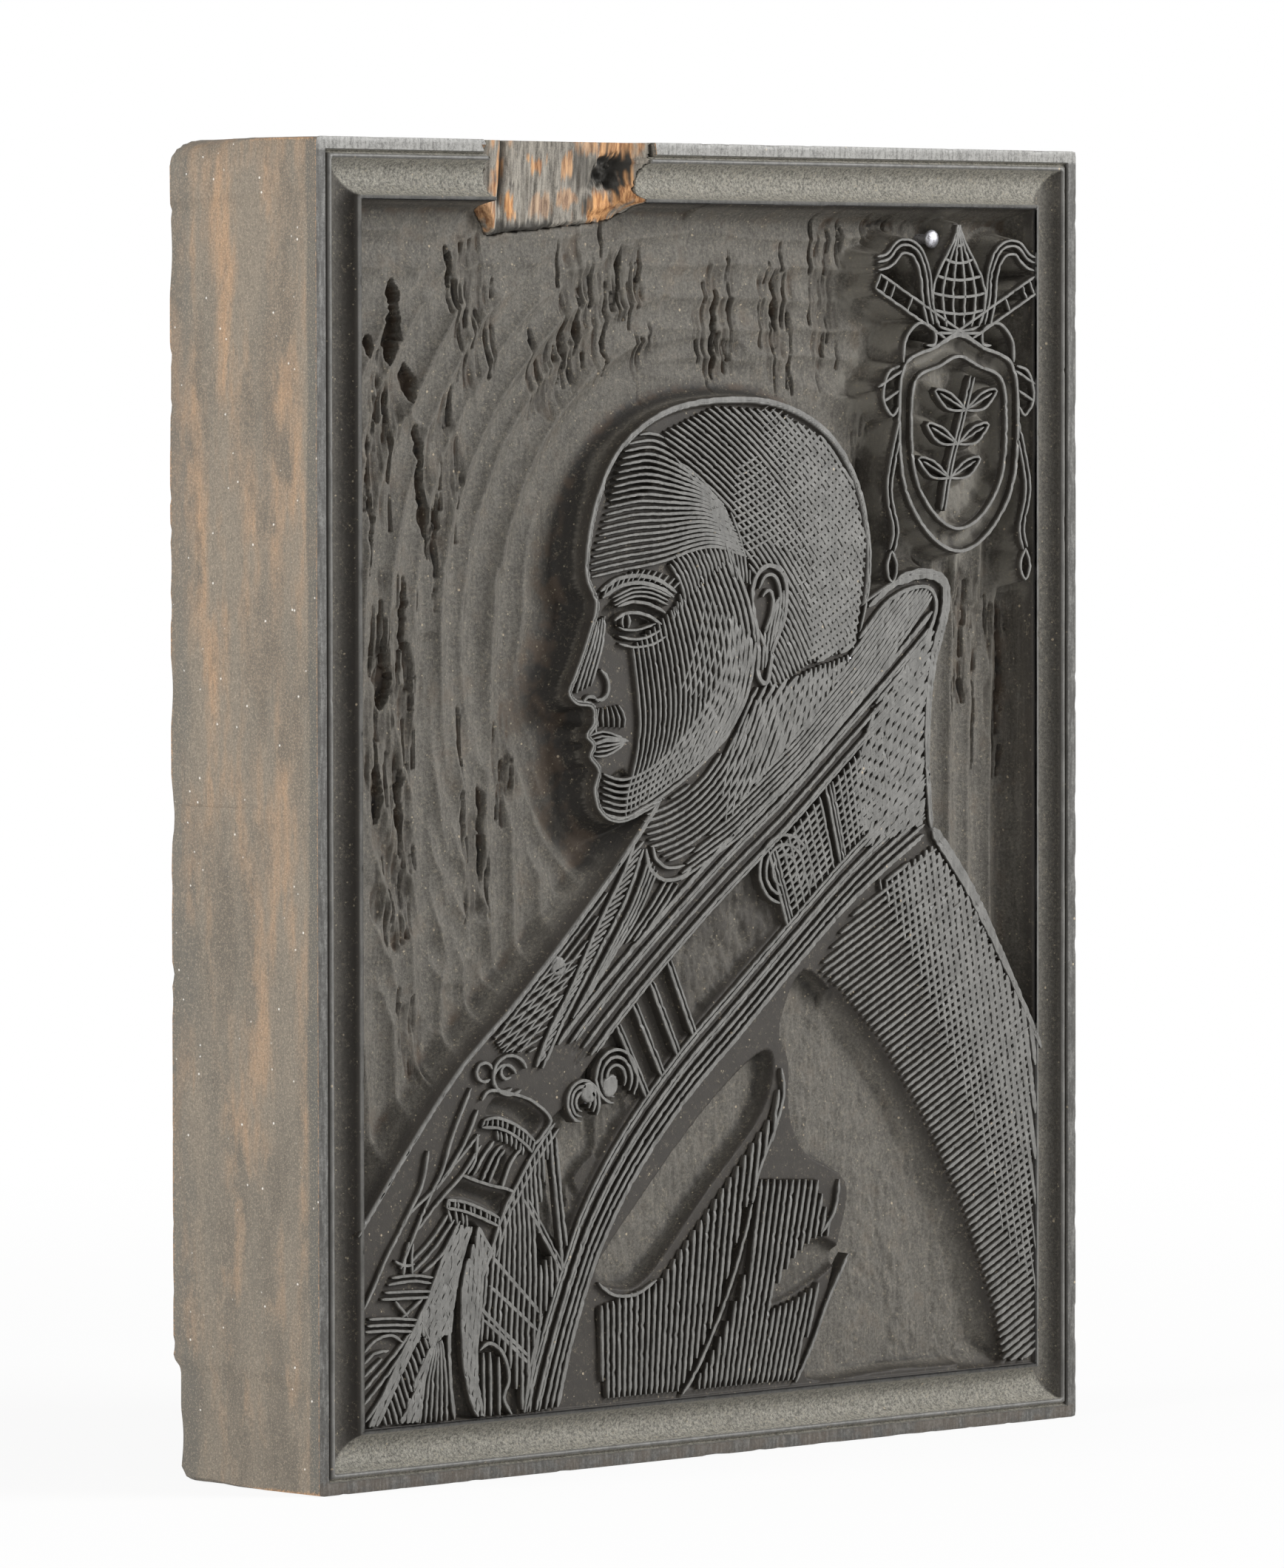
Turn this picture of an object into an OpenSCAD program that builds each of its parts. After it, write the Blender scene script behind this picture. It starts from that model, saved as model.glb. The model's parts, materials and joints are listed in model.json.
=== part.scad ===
// A hand-cut block for relief printing, as high as letterpress type.
// One plank of close-grained wood carries a portrait, a shield and a two-line border, all left
// standing at printing height, and five small metal pins are driven into its face.
// The block stands on its foot, with the printing face towards -Y and the grain along Z.

/* [Block] */
// Width of the block across the grain
block_w = 117; // [105:1:130]
// Height of the block along the grain
block_h = 144; // [130:1:160]
// Thickness from the bed side to the printing face, which is the height of type
type_high = 23.56; // [20:0.01:28]
// Radius of the worn edges at the top and foot of the bed side
worn_edge = 2.2; // [1:0.1:3]
// Radius of the worn upright edges of the bed side
worn_upright = 1.2; // [0.5:0.1:2]

/* [Border] */
// Width of the waste rim outside the border
rim_w = 1.3; // [0.8:0.1:2]
// Width of the V cut that parts the rim from the outer line
vee_w = 0.6; // [0.3:0.05:0.9]
// Depth of the V cut
vee_d = 0.5; // [0.2:0.05:0.9]
// Width of each printing line of the border
line_w = 0.3; // [0.2:0.05:0.6]
// Width of the hollow between the two printing lines
hollow_w = 4; // [3:0.1:5]
// Depth of that hollow
hollow_d = 1.7; // [1:0.1:2.4]

/* [Carving] */
// Depth of the cleared ground below the printing face
ground_d = 3.6; // [3.2:0.1:4.5]
// Depth of the white areas scooped out inside the figure
white_d = 2.4; // [1.8:0.1:3]
// Depth of the cuts between the raised lines of the band and the crest
groove_d = 1.1; // [0.8:0.05:1.6]
// Depth of the fine engraved lines
engrave_d = 0.5; // [0.3:0.05:0.7]
// Spacing of the upright lines on the sleeve
sleeve_pitch = 0.95; // [0.85:0.05:1.4]
// Spacing of the slanting lines on the shoulder
shoulder_pitch = 1.2; // [1:0.05:1.8]
// Turn of the sleeve lines from upright, in degrees
sleeve_slant = 3; // [-10:1:10]
// Turn of the shoulder lines from upright, in degrees
shoulder_slant = -60; // [-75:1:-45]
// Spacing of the curved lines on the head
head_pitch = 1.4; // [1.2:0.05:2]
// Width of one engraved cut
cut_w = 0.6; // [0.3:0.05:0.8]
// Radius of the gouge that cleared the ground
gouge_r = 2.4; // [1.8:0.1:3]
// How far the gouge marks sink below the ground
gouge_d = 0.45; // [0.2:0.05:0.7]

/* [Broken edge] */
// Width of the splinter lost from the top edge
chip_w = 24; // [16:1:28]
// Height of the lost splinter, down from the top edge
chip_h = 10; // [8:0.1:11]
// Depth of the break at the top edge
chip_d = 2.6; // [2:0.1:3]

/* [Pins] */
// Radius of the headed pin's shank, beside the crest
nail_r = 0.6; // [0.4:0.05:0.8]
// Radius of the headed pin's head
nail_head_r = 1.05; // [0.9:0.05:1.3]
// Radius of the four clipped pins
pin_r = 0.75; // [0.5:0.05:1]
// Length of each pin below the surface that it is driven into
pin_l = 9; // [6:0.5:12]
// Thickness of the headed pin's head
nail_head_l = 0.7; // [0.5:0.05:1]
// How far the headed pin stands above the ground
nail_proud = 2.2; // [1.2:0.1:2.8]

/* [Hidden] */
$fn = 48;
over = 1; // how far a cut runs past the face that it opens
mitre_lap = 0.02; // how far a side of the border runs past its mitre, so that no skin is left

// The picture is drawn on a field of this size and fitted to the field inside the border.
drawn_w = 104;
drawn_h = 131;
border_w = rim_w + vee_w + line_w + hollow_w + line_w;
field_w = block_w - 2 * border_w;
field_h = block_h - 2 * border_w;
face_y = -type_high / 2;

ink_black = [0.27, 0.27, 0.27];
pin_metal = [0.74, 0.74, 0.76];

function fitted(p) = [p[0] * field_w / drawn_w, border_w + p[1] * field_h / drawn_h];
function fitted_all(points) = [for (p = points) fitted(p)];

// A smooth curve through hand-picked points, as a Catmull-Rom spline.
function spline_at(a, b, c, d, t) =
    0.5 * (2 * b + (c - a) * t + (2 * a - 5 * b + 4 * c - d) * t * t
    + (3 * b - a - 3 * c + d) * t * t * t);
function smooth(p, n = 4) = concat(
    [for (i = [0:len(p) - 2]) for (j = [0:n - 1])
        spline_at(p[max(i - 1, 0)], p[i], p[i + 1], p[min(i + 2, len(p) - 1)], j / n)],
    [p[len(p) - 1]]
);
function smooth_ring(p, n = 4) = let (m = len(p)) [
    for (i = [0:m - 1]) for (j = [0:n - 1])
        spline_at(p[(i + m - 1) % m], p[i], p[(i + 1) % m], p[(i + 2) % m], j / n)
];

// The outline of a line of even width that follows a path.
function side_step(p, i, w) = let (
    run = p[min(i + 1, len(p) - 1)] - p[max(i - 1, 0)]
) [-run[1], run[0]] / norm(run) * w / 2;
function line_along(p, w) = concat(
    [for (i = [0:len(p) - 1]) p[i] + side_step(p, i, w)],
    [for (i = [len(p) - 1:-1:0]) p[i] - side_step(p, i, w)]
);

// The head is drawn in shares of its height, from the brow back and from the chin up: brow,
// nose and chin stand a third of the face apart and the eye is at half height.
head_h = 45;
head_tilt = 3;
brow_x = -18.6;
chin_z = 64.6;
head_mid = [0.48, 0.5];
function head_point(p) = let (
    q = (p - head_mid) * head_h,
    c = cos(head_tilt),
    s = sin(head_tilt)
) [brow_x, chin_z] + head_mid * head_h + [q[0] * c - q[1] * s, q[0] * s + q[1] * c];
function head_points(points) = [for (p = points) head_point(p)];
face_line = [
    [0.45, 1], [0.27, 0.975], [0.13, 0.9], [0.05, 0.79], [0.012, 0.69], [0, 0.6],
    [0.028, 0.53], [0, 0.46], [-0.045, 0.375], [-0.074, 0.325], [-0.05, 0.296], [0, 0.285],
    [0.004, 0.245], [-0.022, 0.216], [0, 0.192], [-0.014, 0.165], [0.014, 0.13],
    [-0.002, 0.08], [0.022, 0.022], [0.09, 0], [0.2, 0.03]
];
skull_line = [
    [0.34, 0.03], [0.6, -0.06], [0.9, 0.2], [0.93, 0.4], [0.965, 0.5], [0.975, 0.62],
    [0.94, 0.77], [0.84, 0.9], [0.67, 0.98]
];
head_line = concat(face_line, skull_line);
ear_line = [
    [0.56, 0.5], [0.575, 0.56], [0.625, 0.585], [0.675, 0.55], [0.67, 0.46], [0.625, 0.38],
    [0.6, 0.3], [0.57, 0.32], [0.575, 0.4]
];
eye_line = [[0.24, 0.48], [0.17, 0.512], [0.09, 0.49], [0.16, 0.468]];
features = [
    [[0.05, 0.542], [0.13, 0.562], [0.21, 0.562], [0.28, 0.535]],
    [[-0.01, 0.308], [0.025, 0.312], [0.052, 0.335], [0.05, 0.372]],
    [[0.006, 0.193], [0.045, 0.199], [0.09, 0.199], [0.13, 0.194]],
    [[0.12, 0.05], [0.24, 0.085], [0.37, 0.15], [0.48, 0.25], [0.53, 0.36]]
];
skull_zone = [
    [0.27, 0.93], [0.45, 0.965], [0.66, 0.945], [0.82, 0.87], [0.915, 0.75], [0.945, 0.62],
    [0.92, 0.5], [0.73, 0.5], [0.71, 0.6], [0.62, 0.64], [0.55, 0.6], [0.5, 0.72], [0.42, 0.79],
    [0.31, 0.87]
];
skull_mid = [-30, 56];
skull_turn = [42, 78]; // least and greatest radius of the curved lines
hair_edge = [[0.2, 0.93], [0.3, 0.82], [0.4, 0.74], [0.47, 0.63], [0.5, 0.5], [0.52, 0.36]];

// Outlines of the dress, in drawing millimetres from the middle and the foot of the field.
chest_line = [
    [-8, 66], [-13, 60.5], [-20, 53.6], [-29.5, 45], [-37.7, 38.3], [-45, 30.5], [-53, 21]
];
chest_hem = [[-8.8, 61.8], [-12.6, 56.4], [-17.4, 50.4], [-21.8, 44.8], [-26.2, 39]];
shoulder_line = [[53, 36], [50.4, 40.5], [46.5, 46.7], [41.5, 54.2], [35.3, 61.5]];
hood_line = [
    [35.3, 61.5], [34.7, 68], [34.7, 73.5], [35.6, 80], [37.6, 86], [37.2, 89.3], [33.6, 90.4],
    [29, 89.4], [23, 86.6]
];
band_upper = [
    [36.2, 87], [29.6, 81.4], [21.5, 75], [12, 67.6], [2.5, 61.2], [-7, 54], [-16.4, 46.4],
    [-24, 39.4], [-29.5, 31.6], [-36, 20], [-42, 6], [-44, -3]
];
band_lower = [
    [35, 61.2], [27.6, 57], [20.8, 52.6], [12.6, 46.2], [4.4, 39.4], [-4, 32.6], [-11.4, 25],
    [-17, 17], [-20.6, 9], [-22.6, 3], [-23.6, -1], [-24, -3]
];
upper_stripes = [0.05, 0.12, 0.19];
lower_stripes = [0.8, 0.87, 0.94];
clasp_station = 6.6; // where the upper stripes end at the clasp
stripe_w = 0.7;
panels = [[1.4, 2.05], [2.4, 3.1], [5.95, 6.75], [7.1, 7.9]];
scoop = [3.35, 4.8]; // the plain stretch of the band, cleared roughly
bars = [1.22, 2.22, 8.12];
bar_w = 0.9;
troughs = [5.04, 5.33, 5.62];
trough_w = 2.3;
panel_edges = [0.27, 0.72];
band_skew = 0.6; // how many stations a line across the band runs back from edge to edge
lozenge = 0.62; // share of a panel filled by its lozenge
lozenge_rim = 0.6; // share of the lozenge sunk inside its rim

lining_line = [
    [15, 46.4], [21, 42.4], [26.5, 37], [33.2, 28.3], [39.8, 17.5], [45, 5], [46.4, 0.9],
    [30, 0.9], [15.4, 0.9], [18, 8.6], [20.4, 16], [21.6, 22.4], [15.4, 25.8], [12.8, 30],
    [12.6, 36], [11.2, 40.4]
];
sleeve_line = [
    [11, 34], [10.6, 29], [7, 23.6], [16.8, 23], [18.8, 18], [16.6, 9], [13, 0.9],
    [-16.4, 0.9], [-17.6, 11], [-8, 13.2], [1, 22], [9, 30]
];
sleeve_white = [
    [-17.4, 14.8], [-13.6, 12.6], [-9, 13.8], [0, 22.6], [8.4, 30.6], [10.4, 36.6], [7.6, 37.4],
    [-1, 31.4], [-11, 22]
];
sleeve_gap = [
    [5.4, 20.4], [3, 14], [-0.4, 7], [-4.8, 0.9], [-3.4, 0.9], [1.8, 7], [5.4, 13.4], [7.2, 19.6]
];
sleeve_leaf = [[9.2, 9.4], [14.4, 10.4], [21, 14.2], [17.4, 16.6], [12.6, 14]];
shoulder_zone = [
    [35.6, 57], [41, 52.4], [46, 45], [50.6, 36.4], [51, 1.5], [48, 1.5], [46, 7], [41, 18.6],
    [34.4, 29.4], [27.6, 38.4], [22, 43.6], [17.6, 46.6], [22.6, 50.4]
];
hood_zone = [[33.6, 64], [33.4, 73], [34.6, 80], [35.4, 84], [30, 79], [25.2, 75], [26.6, 60.4]];

// The clasp is drawn as two rods and the openings of the tongue between them, all scooped out.
clasp_rods = [[[-32.2, 33.4], [-26.6, 31.3]], [[-37.6, 24.9], [-31.8, 22.8]]];
rod_r = 1.4;
tongue_slots = [
    [[-35, 28.2], [-33.6, 29.6], [-32.8, 29.4], [-34.8, 26.2], [-36.2, 26.9]],
    [[-32, 29.2], [-30.2, 28.4], [-31.8, 25.2], [-33, 26]]
];
folds = [
    [[-43.6, 1.2], [-43.2, 6.2], [-41.9, 8], [-40.5, 6.6], [-40, 1.2]],
    [[-38.6, 1.2], [-39.1, 8], [-38, 14.6], [-36.3, 19.4], [-36.9, 14], [-37.4, 8], [-36.4, 1.2]],
    [[-34.4, 1.2], [-34.6, 6.4], [-33.4, 7.8], [-31.6, 6.6], [-31, 4], [-32, 1.2]],
    [[-26, 17], [-25.6, 22], [-24.4, 27.4], [-22.8, 23.4], [-23, 18.6]]
];
strap_lines = [
    [[-38.4, 21.4], [-42, 14.4], [-46, 7.6], [-50, 1.6]],
    [[-37, 20], [-40.4, 11.6], [-44, 5.6], [-46.4, 1.6]],
    [[-33.8, 16], [-34.6, 12.4], [-34.6, 9.6]], [[-32.4, 17.4], [-33, 9.2]],
    [[-31, 18.6], [-31.2, 8.4]], [[-29.6, 20], [-29.6, 2]], [[-28.2, 22.4], [-28, 2]]
];

// The shield hangs under a ribbed bud, before two crossed staffs, with ribbons at its sides.
shield_mid = [39.4, 105];
shield_line = [
    [-8.6, 8.4], [-4, 10.2], [0, 11.6], [4, 10.2], [8.6, 8.4], [9.6, 3], [8.8, -5],
    [5, -10.4], [0, -12.6], [-5, -10.4], [-8.8, -5], [-9.6, 3]
];
shield_field = 0.8; // share of the shield sunk inside its rim
bud_foot = 117.6;
bud_row_h = 2.2;
bud_rows = [4.4, 4, 3.2, 2.2, 1.2];
bud_gap = 0.4;
ribbon_path = [[3.4, 12], [6, 16], [8.4, 19.6], [11.6, 18.4], [13.6, 15]];
cord_path = [[9, 3], [11.2, -5], [10.2, -10], [10.8, -14]];
staff_path = [[-13, 17.6], [12.6, 5]];
ribbon_w = 1.7;
cord_w = 1;
staff_w = 1.8;
stem_path = [[-2.6, -8], [-1.4, -3], [0.4, 2], [2.2, 7]];
stem_w = 0.8;
stem_lean = 0.35; // sideways run of the stem for each millimetre that it climbs
leaf_line = [[0, 0], [2.5, 1.9], [5, 2.3], [3, 0.2]];
leaf_steps = [-4.4, -0.6, 3.2];

// Where the pins are driven in. The clipped ones stand in wood left at printing height.
crest_pin_at = fitted([36.9, 127.4]);
shoulder_pin_at = fitted([-23.2, 48.4]);
band_pin_left_at = fitted([-18.6, 34.4]);
band_pin_right_at = fitted([-15.4, 35]);
collar_pin_at = fitted([21.9, 80.2]);
clipped_pins = [shoulder_pin_at, band_pin_left_at, band_pin_right_at, collar_pin_at];
clipped_sunk = 0.12; // the clipped ends lie just below the printing face
boss_w = 1; // wood left round a pin that stands in a panel

// Gouge marks of the cleared ground: [radius, first angle, last angle] of the rows round the
// head, and the middles of the upright ones.
mark_l = 17;
mark_reach = 1.2; // how far the gouge is followed past both ends of its mark
mark_lap = 0.8; // distance between marks of a row, in mark lengths
mark_rings = [[32, 80, 176], [35.4, 84, 180], [38.8, 96, 182], [42.2, 104, 184], [45.6, 122, 186]];
ring_mid = [3, 86];
upright_marks = [
    [-48.6, 74], [-45.4, 66], [-41.8, 72], [-38.4, 66], [-35, 70], [-31.6, 66], [-28.4, 68],
    [-48.6, 58], [-45.4, 50], [-41.8, 56], [-38.4, 52], [-48.6, 42], [-35, 56], [-31.6, 58],
    [40.4, 74], [43.6, 64], [43.6, 80], [46.8, 72], [46.8, 60], [49.8, 64], [49.8, 80]
];

// The gouge stops short of the figure, the shield and the border.
gouged_areas = [
    [
        [-51.5, 31], [-51.5, 130], [22, 130], [22, 114.6], [8, 114.2], [-10, 109], [-22.4, 98],
        [-25.6, 84], [-25.6, 60], [-33, 48], [-42, 38]
    ],
    [[39, 62], [46, 53], [51.5, 48], [51.5, 90], [42, 90], [39, 84]]
];

// Outline of the splinter, in shares of its width and of its height down from the top edge.
chip_mid = -0.193; // middle of the splinter, in shares of the block's width
chip_line = [
    [0.02, -0.1], [0.03, 0.5], [0, 0.84], [0.05, 1], [0.15, 0.97], [0.22, 0.86], [0.31, 0.83],
    [0.42, 0.74], [0.55, 0.72], [0.78, 0.68], [0.9, 0.6], [0.94, 0.35], [1, 0.12], [1, -0.1]
];
chip_foot_d = ground_d + 0.4;

// Cuts a flat shape of the drawing to a depth below the printing face.
module cut_to(depth) {
    translate([0, face_y + depth, 0])
        rotate([90, 0, 0])
            linear_extrude(depth + over)
                children();
}

module shape(points) {
    polygon(fitted_all(points));
}

module line_cut(points, w) {
    shape(line_along(smooth(points), w));
}

// A closed line, drawn as an outline less a smaller one about the same middle.
function middle(points) = [
    for (i = [0, 1]) (min([for (p = points) p[i]]) + max([for (p = points) p[i]])) / 2
];
module loop_cut(points, inner) {
    mid = middle(points);
    difference() {
        shape(smooth_ring(points, 3));
        shape(smooth_ring([for (p = points) mid + (p - mid) * inner], 3));
    }
}

// The blank is planed square on the printing face, and its bed side is worn round.
module worn_square(w, d, r) {
    difference() {
        square([w, d]);
        for (m = [0, 1])
            translate([m * w, 0])
                mirror([m, 0])
                    translate([0, d - r])
                        difference() {
                            translate([-over, 0])
                                square(r + over);
                            translate([r, 0])
                                circle(r);
                        }
    }
}

module blank() {
    intersection() {
        translate([-block_w / 2, face_y, 0])
            linear_extrude(block_h)
                worn_square(block_w, type_high, worn_upright);
        translate([-block_w / 2, face_y, 0])
            rotate([90, 0, 90])
                linear_extrude(block_w)
                    mirror([1, -1])
                        worn_square(block_h, type_high, worn_edge);
    }
}

// One side of the border: a V cut and a hollow that run along it and meet the next at a mitre.
module border_side(length) {
    hollow_r = (hollow_w * hollow_w / 4 + hollow_d * hollow_d) / (2 * hollow_d);
    vee_top = vee_w / 2 * (1 + over / vee_d);
    intersection() {
        rotate([90, 0, 90])
            translate([0, 0, -length / 2 - over])
                linear_extrude(length + 2 * over) {
                    translate([0, rim_w + vee_w / 2])
                        polygon([[-over, -vee_top], [vee_d, 0], [-over, vee_top]]);
                    translate([hollow_d - hollow_r, rim_w + vee_w + line_w + hollow_w / 2])
                        circle(hollow_r, $fn = 64);
                }
        translate([0, hollow_d + over, 0])
            rotate([90, 0, 0])
                linear_extrude(2 * hollow_r + 2 * over)
                    polygon([
                        [-length / 2 - mitre_lap, 0], [length / 2 + mitre_lap, 0],
                        [length / 2 + mitre_lap - border_w, border_w],
                        [border_w - length / 2 - mitre_lap, border_w]
                    ]);
    }
}

module border_cuts() {
    translate([0, face_y, 0])
        border_side(block_w);
    translate([0, face_y, block_h])
        mirror([0, 0, 1])
            border_side(block_w);
    for (m = [0, 1])
        mirror([m, 0, 0])
            translate([-block_w / 2, face_y, block_h / 2])
                rotate([0, 90, 0])
                    border_side(block_h);
}

module field() {
    translate([-field_w / 2, border_w])
        square([field_w, field_h]);
}

module head() {
    shape(smooth_ring(head_points(head_line)));
}

module dress() {
    shape(concat(
        smooth(chest_line), [[-53, -1], [53, -1]], smooth(shoulder_line),
        smooth(hood_line), [[10, 75]]
    ));
}

module shield(size = 1) {
    shape([for (p = smooth_ring(shield_line, 3)) shield_mid + p * size]);
}

module bud() {
    for (i = [0:len(bud_rows) - 1]) {
        half = bud_rows[i];
        foot = bud_foot + bud_row_h * i + bud_gap;
        top = bud_foot + bud_row_h * (i + 1);
        shape([
            [shield_mid[0] - half, foot], [shield_mid[0] + half, foot],
            [shield_mid[0] + half * 0.86, top], [shield_mid[0] - half * 0.86, top]
        ]);
    }
}

function crest_side(path, w, m) = [
    for (p = line_along(smooth(path), w)) shield_mid + [m * p[0], p[1]]
];

module crest() {
    shield();
    bud();
    for (m = [1, -1]) {
        shape(crest_side(ribbon_path, ribbon_w, m));
        shape(crest_side(cord_path, cord_w, m));
        shape(crest_side(staff_path, staff_w, m));
    }
}

module sprig() {
    shape([for (p = line_along(smooth(stem_path), stem_w)) shield_mid + p]);
    for (z = leaf_steps, m = [1, -1])
        shape([for (p = leaf_line) shield_mid + [z * stem_lean + m * p[0], z + p[1]]]);
}

// Everything that prints stands at the height of the face, and the rest of the field is cleared.
module cleared_outline() {
    difference() {
        field();
        head();
        dress();
        crest();
    }
}

// One stroke of the gouge, which enters the ground, runs to its full depth and leaves it.
module gouge_mark(place, angle) {
    half = mark_l / 2;
    end = mark_reach * half;
    translate([place[0], face_y + ground_d + gouge_d - gouge_r, place[1]])
        rotate([0, angle, 0])
            rotate_extrude()
                polygon(concat(
                    [[0, -end]],
                    [for (t = [-end:end / 2:end]) [gouge_r - gouge_d * pow(t / half, 2), t]],
                    [[0, end]]
                ));
}

module mark_rows() {
    for (place = upright_marks)
        gouge_mark(fitted(place), 0);
    for (ring = mark_rings) {
        turn = ring[2] - ring[1];
        steps = floor(turn * PI / 180 * ring[0] / (mark_l * mark_lap));
        for (i = [0:steps]) {
            angle = ring[1] + turn * i / steps;
            gouge_mark(fitted(ring_mid + ring[0] * [cos(angle), sin(angle)]), -angle);
        }
    }
}

module gouge_marks() {
    intersection() {
        mark_rows();
        cut_to(ground_d + gouge_d + over)
            for (area = gouged_areas)
                shape(area);
    }
}

module white_areas() {
    cut_to(white_d) {
        shape(smooth_ring(lining_line, 3));
        shape(smooth_ring(sleeve_white, 3));
        shape(smooth_ring(sleeve_gap, 3));
        shape(smooth_ring(sleeve_leaf, 3));
        for (fold = folds)
            shape(smooth_ring(fold, 3));
        difference() {
            shield(shield_field);
            sprig();
        }
    }
}

// A point of the band: s counts stations along it and t runs from its upper edge to its lower.
function band_edge(line, s) = let (i = min(floor(s), len(line) - 2)) spline_at(
    line[max(i - 1, 0)], line[i], line[i + 1], line[min(i + 2, len(line) - 1)], s - i
);
function band_point(s, t) = band_edge(band_upper, s) * (1 - t) + band_edge(band_lower, s) * t;
// The same for a line that crosses the band at a slant.
function across_band(s, t) = band_point(s + band_skew * (0.5 - t), t);
function band_run(from, to, t) = [for (i = [0:4]) across_band(from + (to - from) * i / 4, t)];

module band_patch(from, to, size = 1) {
    s_mid = (from + to) / 2;
    s_half = (to - from) / 2 * size;
    t_mid = (panel_edges[0] + panel_edges[1]) / 2;
    t_half = (panel_edges[1] - panel_edges[0]) / 2 * size;
    shape(concat(
        band_run(s_mid - s_half, s_mid + s_half, t_mid - t_half),
        band_run(s_mid + s_half, s_mid - s_half, t_mid + t_half)
    ));
}

module band_lozenge(from, to, size) {
    s_mid = (from + to) / 2;
    s_half = (to - from) / 2 * size;
    t_mid = (panel_edges[0] + panel_edges[1]) / 2;
    t_half = (panel_edges[1] - panel_edges[0]) / 2 * size;
    shape([
        across_band(s_mid - s_half, t_mid), across_band(s_mid, t_mid - t_half),
        across_band(s_mid + s_half, t_mid), across_band(s_mid, t_mid + t_half)
    ]);
}

module pin_bosses() {
    for (place = clipped_pins)
        translate(place)
            circle(pin_r + boss_w);
}

module band_drawing() {
    for (t = upper_stripes)
        shape(line_along([for (s = [0.2:0.3:clasp_station]) band_point(s, t)], stripe_w));
    for (t = lower_stripes)
        shape(line_along([for (s = [0.2:0.3:len(band_lower) - 1]) band_point(s, t)], stripe_w));
    for (panel = panels) {
        difference() {
            band_patch(panel[0], panel[1]);
            band_lozenge(panel[0], panel[1], lozenge);
        }
        band_lozenge(panel[0], panel[1], lozenge * lozenge_rim);
    }
    band_patch(scoop[0], scoop[1]);
    for (s = bars)
        shape(line_along([across_band(s, panel_edges[0]), across_band(s, panel_edges[1])], bar_w));
    for (s = troughs)
        shape(line_along([across_band(s, panel_edges[0]), across_band(s, panel_edges[1])], trough_w));
}

module clasp() {
    for (rod = clasp_rods) {
        shape(line_along(rod, 2 * rod_r));
        for (end = rod)
            translate(fitted(end))
                circle(rod_r);
    }
    for (slot = tongue_slots)
        shape(slot);
}

module band_cuts() {
    cut_to(groove_d)
        difference() {
            intersection() {
                field();
                union() {
                    band_drawing();
                    clasp();
                }
            }
            pin_bosses();
        }
}

// Parallel lines across the whole field, turned to a slant.
module ruled(pitch, slant) {
    reach = norm([field_w, field_h]) / 2;
    translate([0, block_h / 2])
        rotate(slant)
            for (x = [-floor(reach / pitch):floor(reach / pitch)])
                translate([x * pitch - cut_w / 2, -reach])
                    square([cut_w, 2 * reach]);
}

module engraved_lines() {
    cut_to(engrave_d) {
        difference() {
            intersection() {
                shape(sleeve_line);
                ruled(sleeve_pitch, sleeve_slant);
            }
            shape(smooth_ring(sleeve_gap, 3));
            shape(smooth_ring(sleeve_leaf, 3));
        }
        intersection() {
            shape(shoulder_zone);
            ruled(shoulder_pitch, shoulder_slant);
        }
        intersection() {
            shape(hood_zone);
            ruled(shoulder_pitch, shoulder_slant);
        }
        for (path = features)
            line_cut(head_points(path), cut_w);
        line_cut(head_points(hair_edge), cut_w);
        loop_cut(head_points(ear_line), 0.72);
        loop_cut(head_points(eye_line), 0.5);
        line_cut(chest_hem, stripe_w);
        for (path = strap_lines)
            line_cut(path, cut_w);
        intersection() {
            shape(head_points(skull_zone));
            for (r = [skull_turn[0]:head_pitch:skull_turn[1]])
                translate(fitted(skull_mid))
                    difference() {
                        circle(r + cut_w / 2, $fn = 96);
                        circle(r - cut_w / 2, $fn = 96);
                    }
        }
    }
}

module broken_edge() {
    intersection() {
        cut_to(chip_foot_d + over)
            translate([chip_mid * block_w, block_h])
                polygon([for (p = chip_line) [(p[0] - 0.5) * chip_w, -p[1] * chip_h]]);
        translate([-block_w / 2, face_y, block_h])
            rotate([90, 0, 90])
                linear_extrude(block_w)
                    polygon([
                        [-over, 2 * over], [chip_d, 2 * over], [chip_d, 0],
                        [chip_foot_d, -chip_h], [-over, -chip_h - over]
                    ]);
    }
}

module pin_shank(place, r, from, to) {
    translate([place[0], face_y + from, place[1]])
        rotate([-90, 0, 0])
            cylinder(r = r, h = to - from);
}

module pin_holes() {
    pin_shank(crest_pin_at, nail_r, 0, ground_d + pin_l);
    for (place = clipped_pins)
        pin_shank(place, pin_r, -over, pin_l);
}

module wood_block() {
    color(ink_black)
        difference() {
            blank();
            border_cuts();
            cut_to(ground_d)
                cleared_outline();
            gouge_marks();
            white_areas();
            band_cuts();
            engraved_lines();
            broken_edge();
            pin_holes();
        }
}

// The headed pin is driven into the cleared ground beside the bud, and stands nearly as high.
module crest_pin() {
    head_at = ground_d - nail_proud;
    color(pin_metal) {
        pin_shank(crest_pin_at, nail_r, head_at + nail_head_l, ground_d + pin_l);
        pin_shank(crest_pin_at, nail_head_r, head_at, head_at + nail_head_l);
    }
}

module clipped_pin(place) {
    color(pin_metal)
        pin_shank(place, pin_r, clipped_sunk, pin_l);
}

module shoulder_pin() {
    clipped_pin(shoulder_pin_at);
}

module band_pin_left() {
    clipped_pin(band_pin_left_at);
}

module band_pin_right() {
    clipped_pin(band_pin_right_at);
}

module collar_pin() {
    clipped_pin(collar_pin_at);
}

wood_block();
crest_pin();
shoulder_pin();
band_pin_left();
band_pin_right();
collar_pin();
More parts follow.
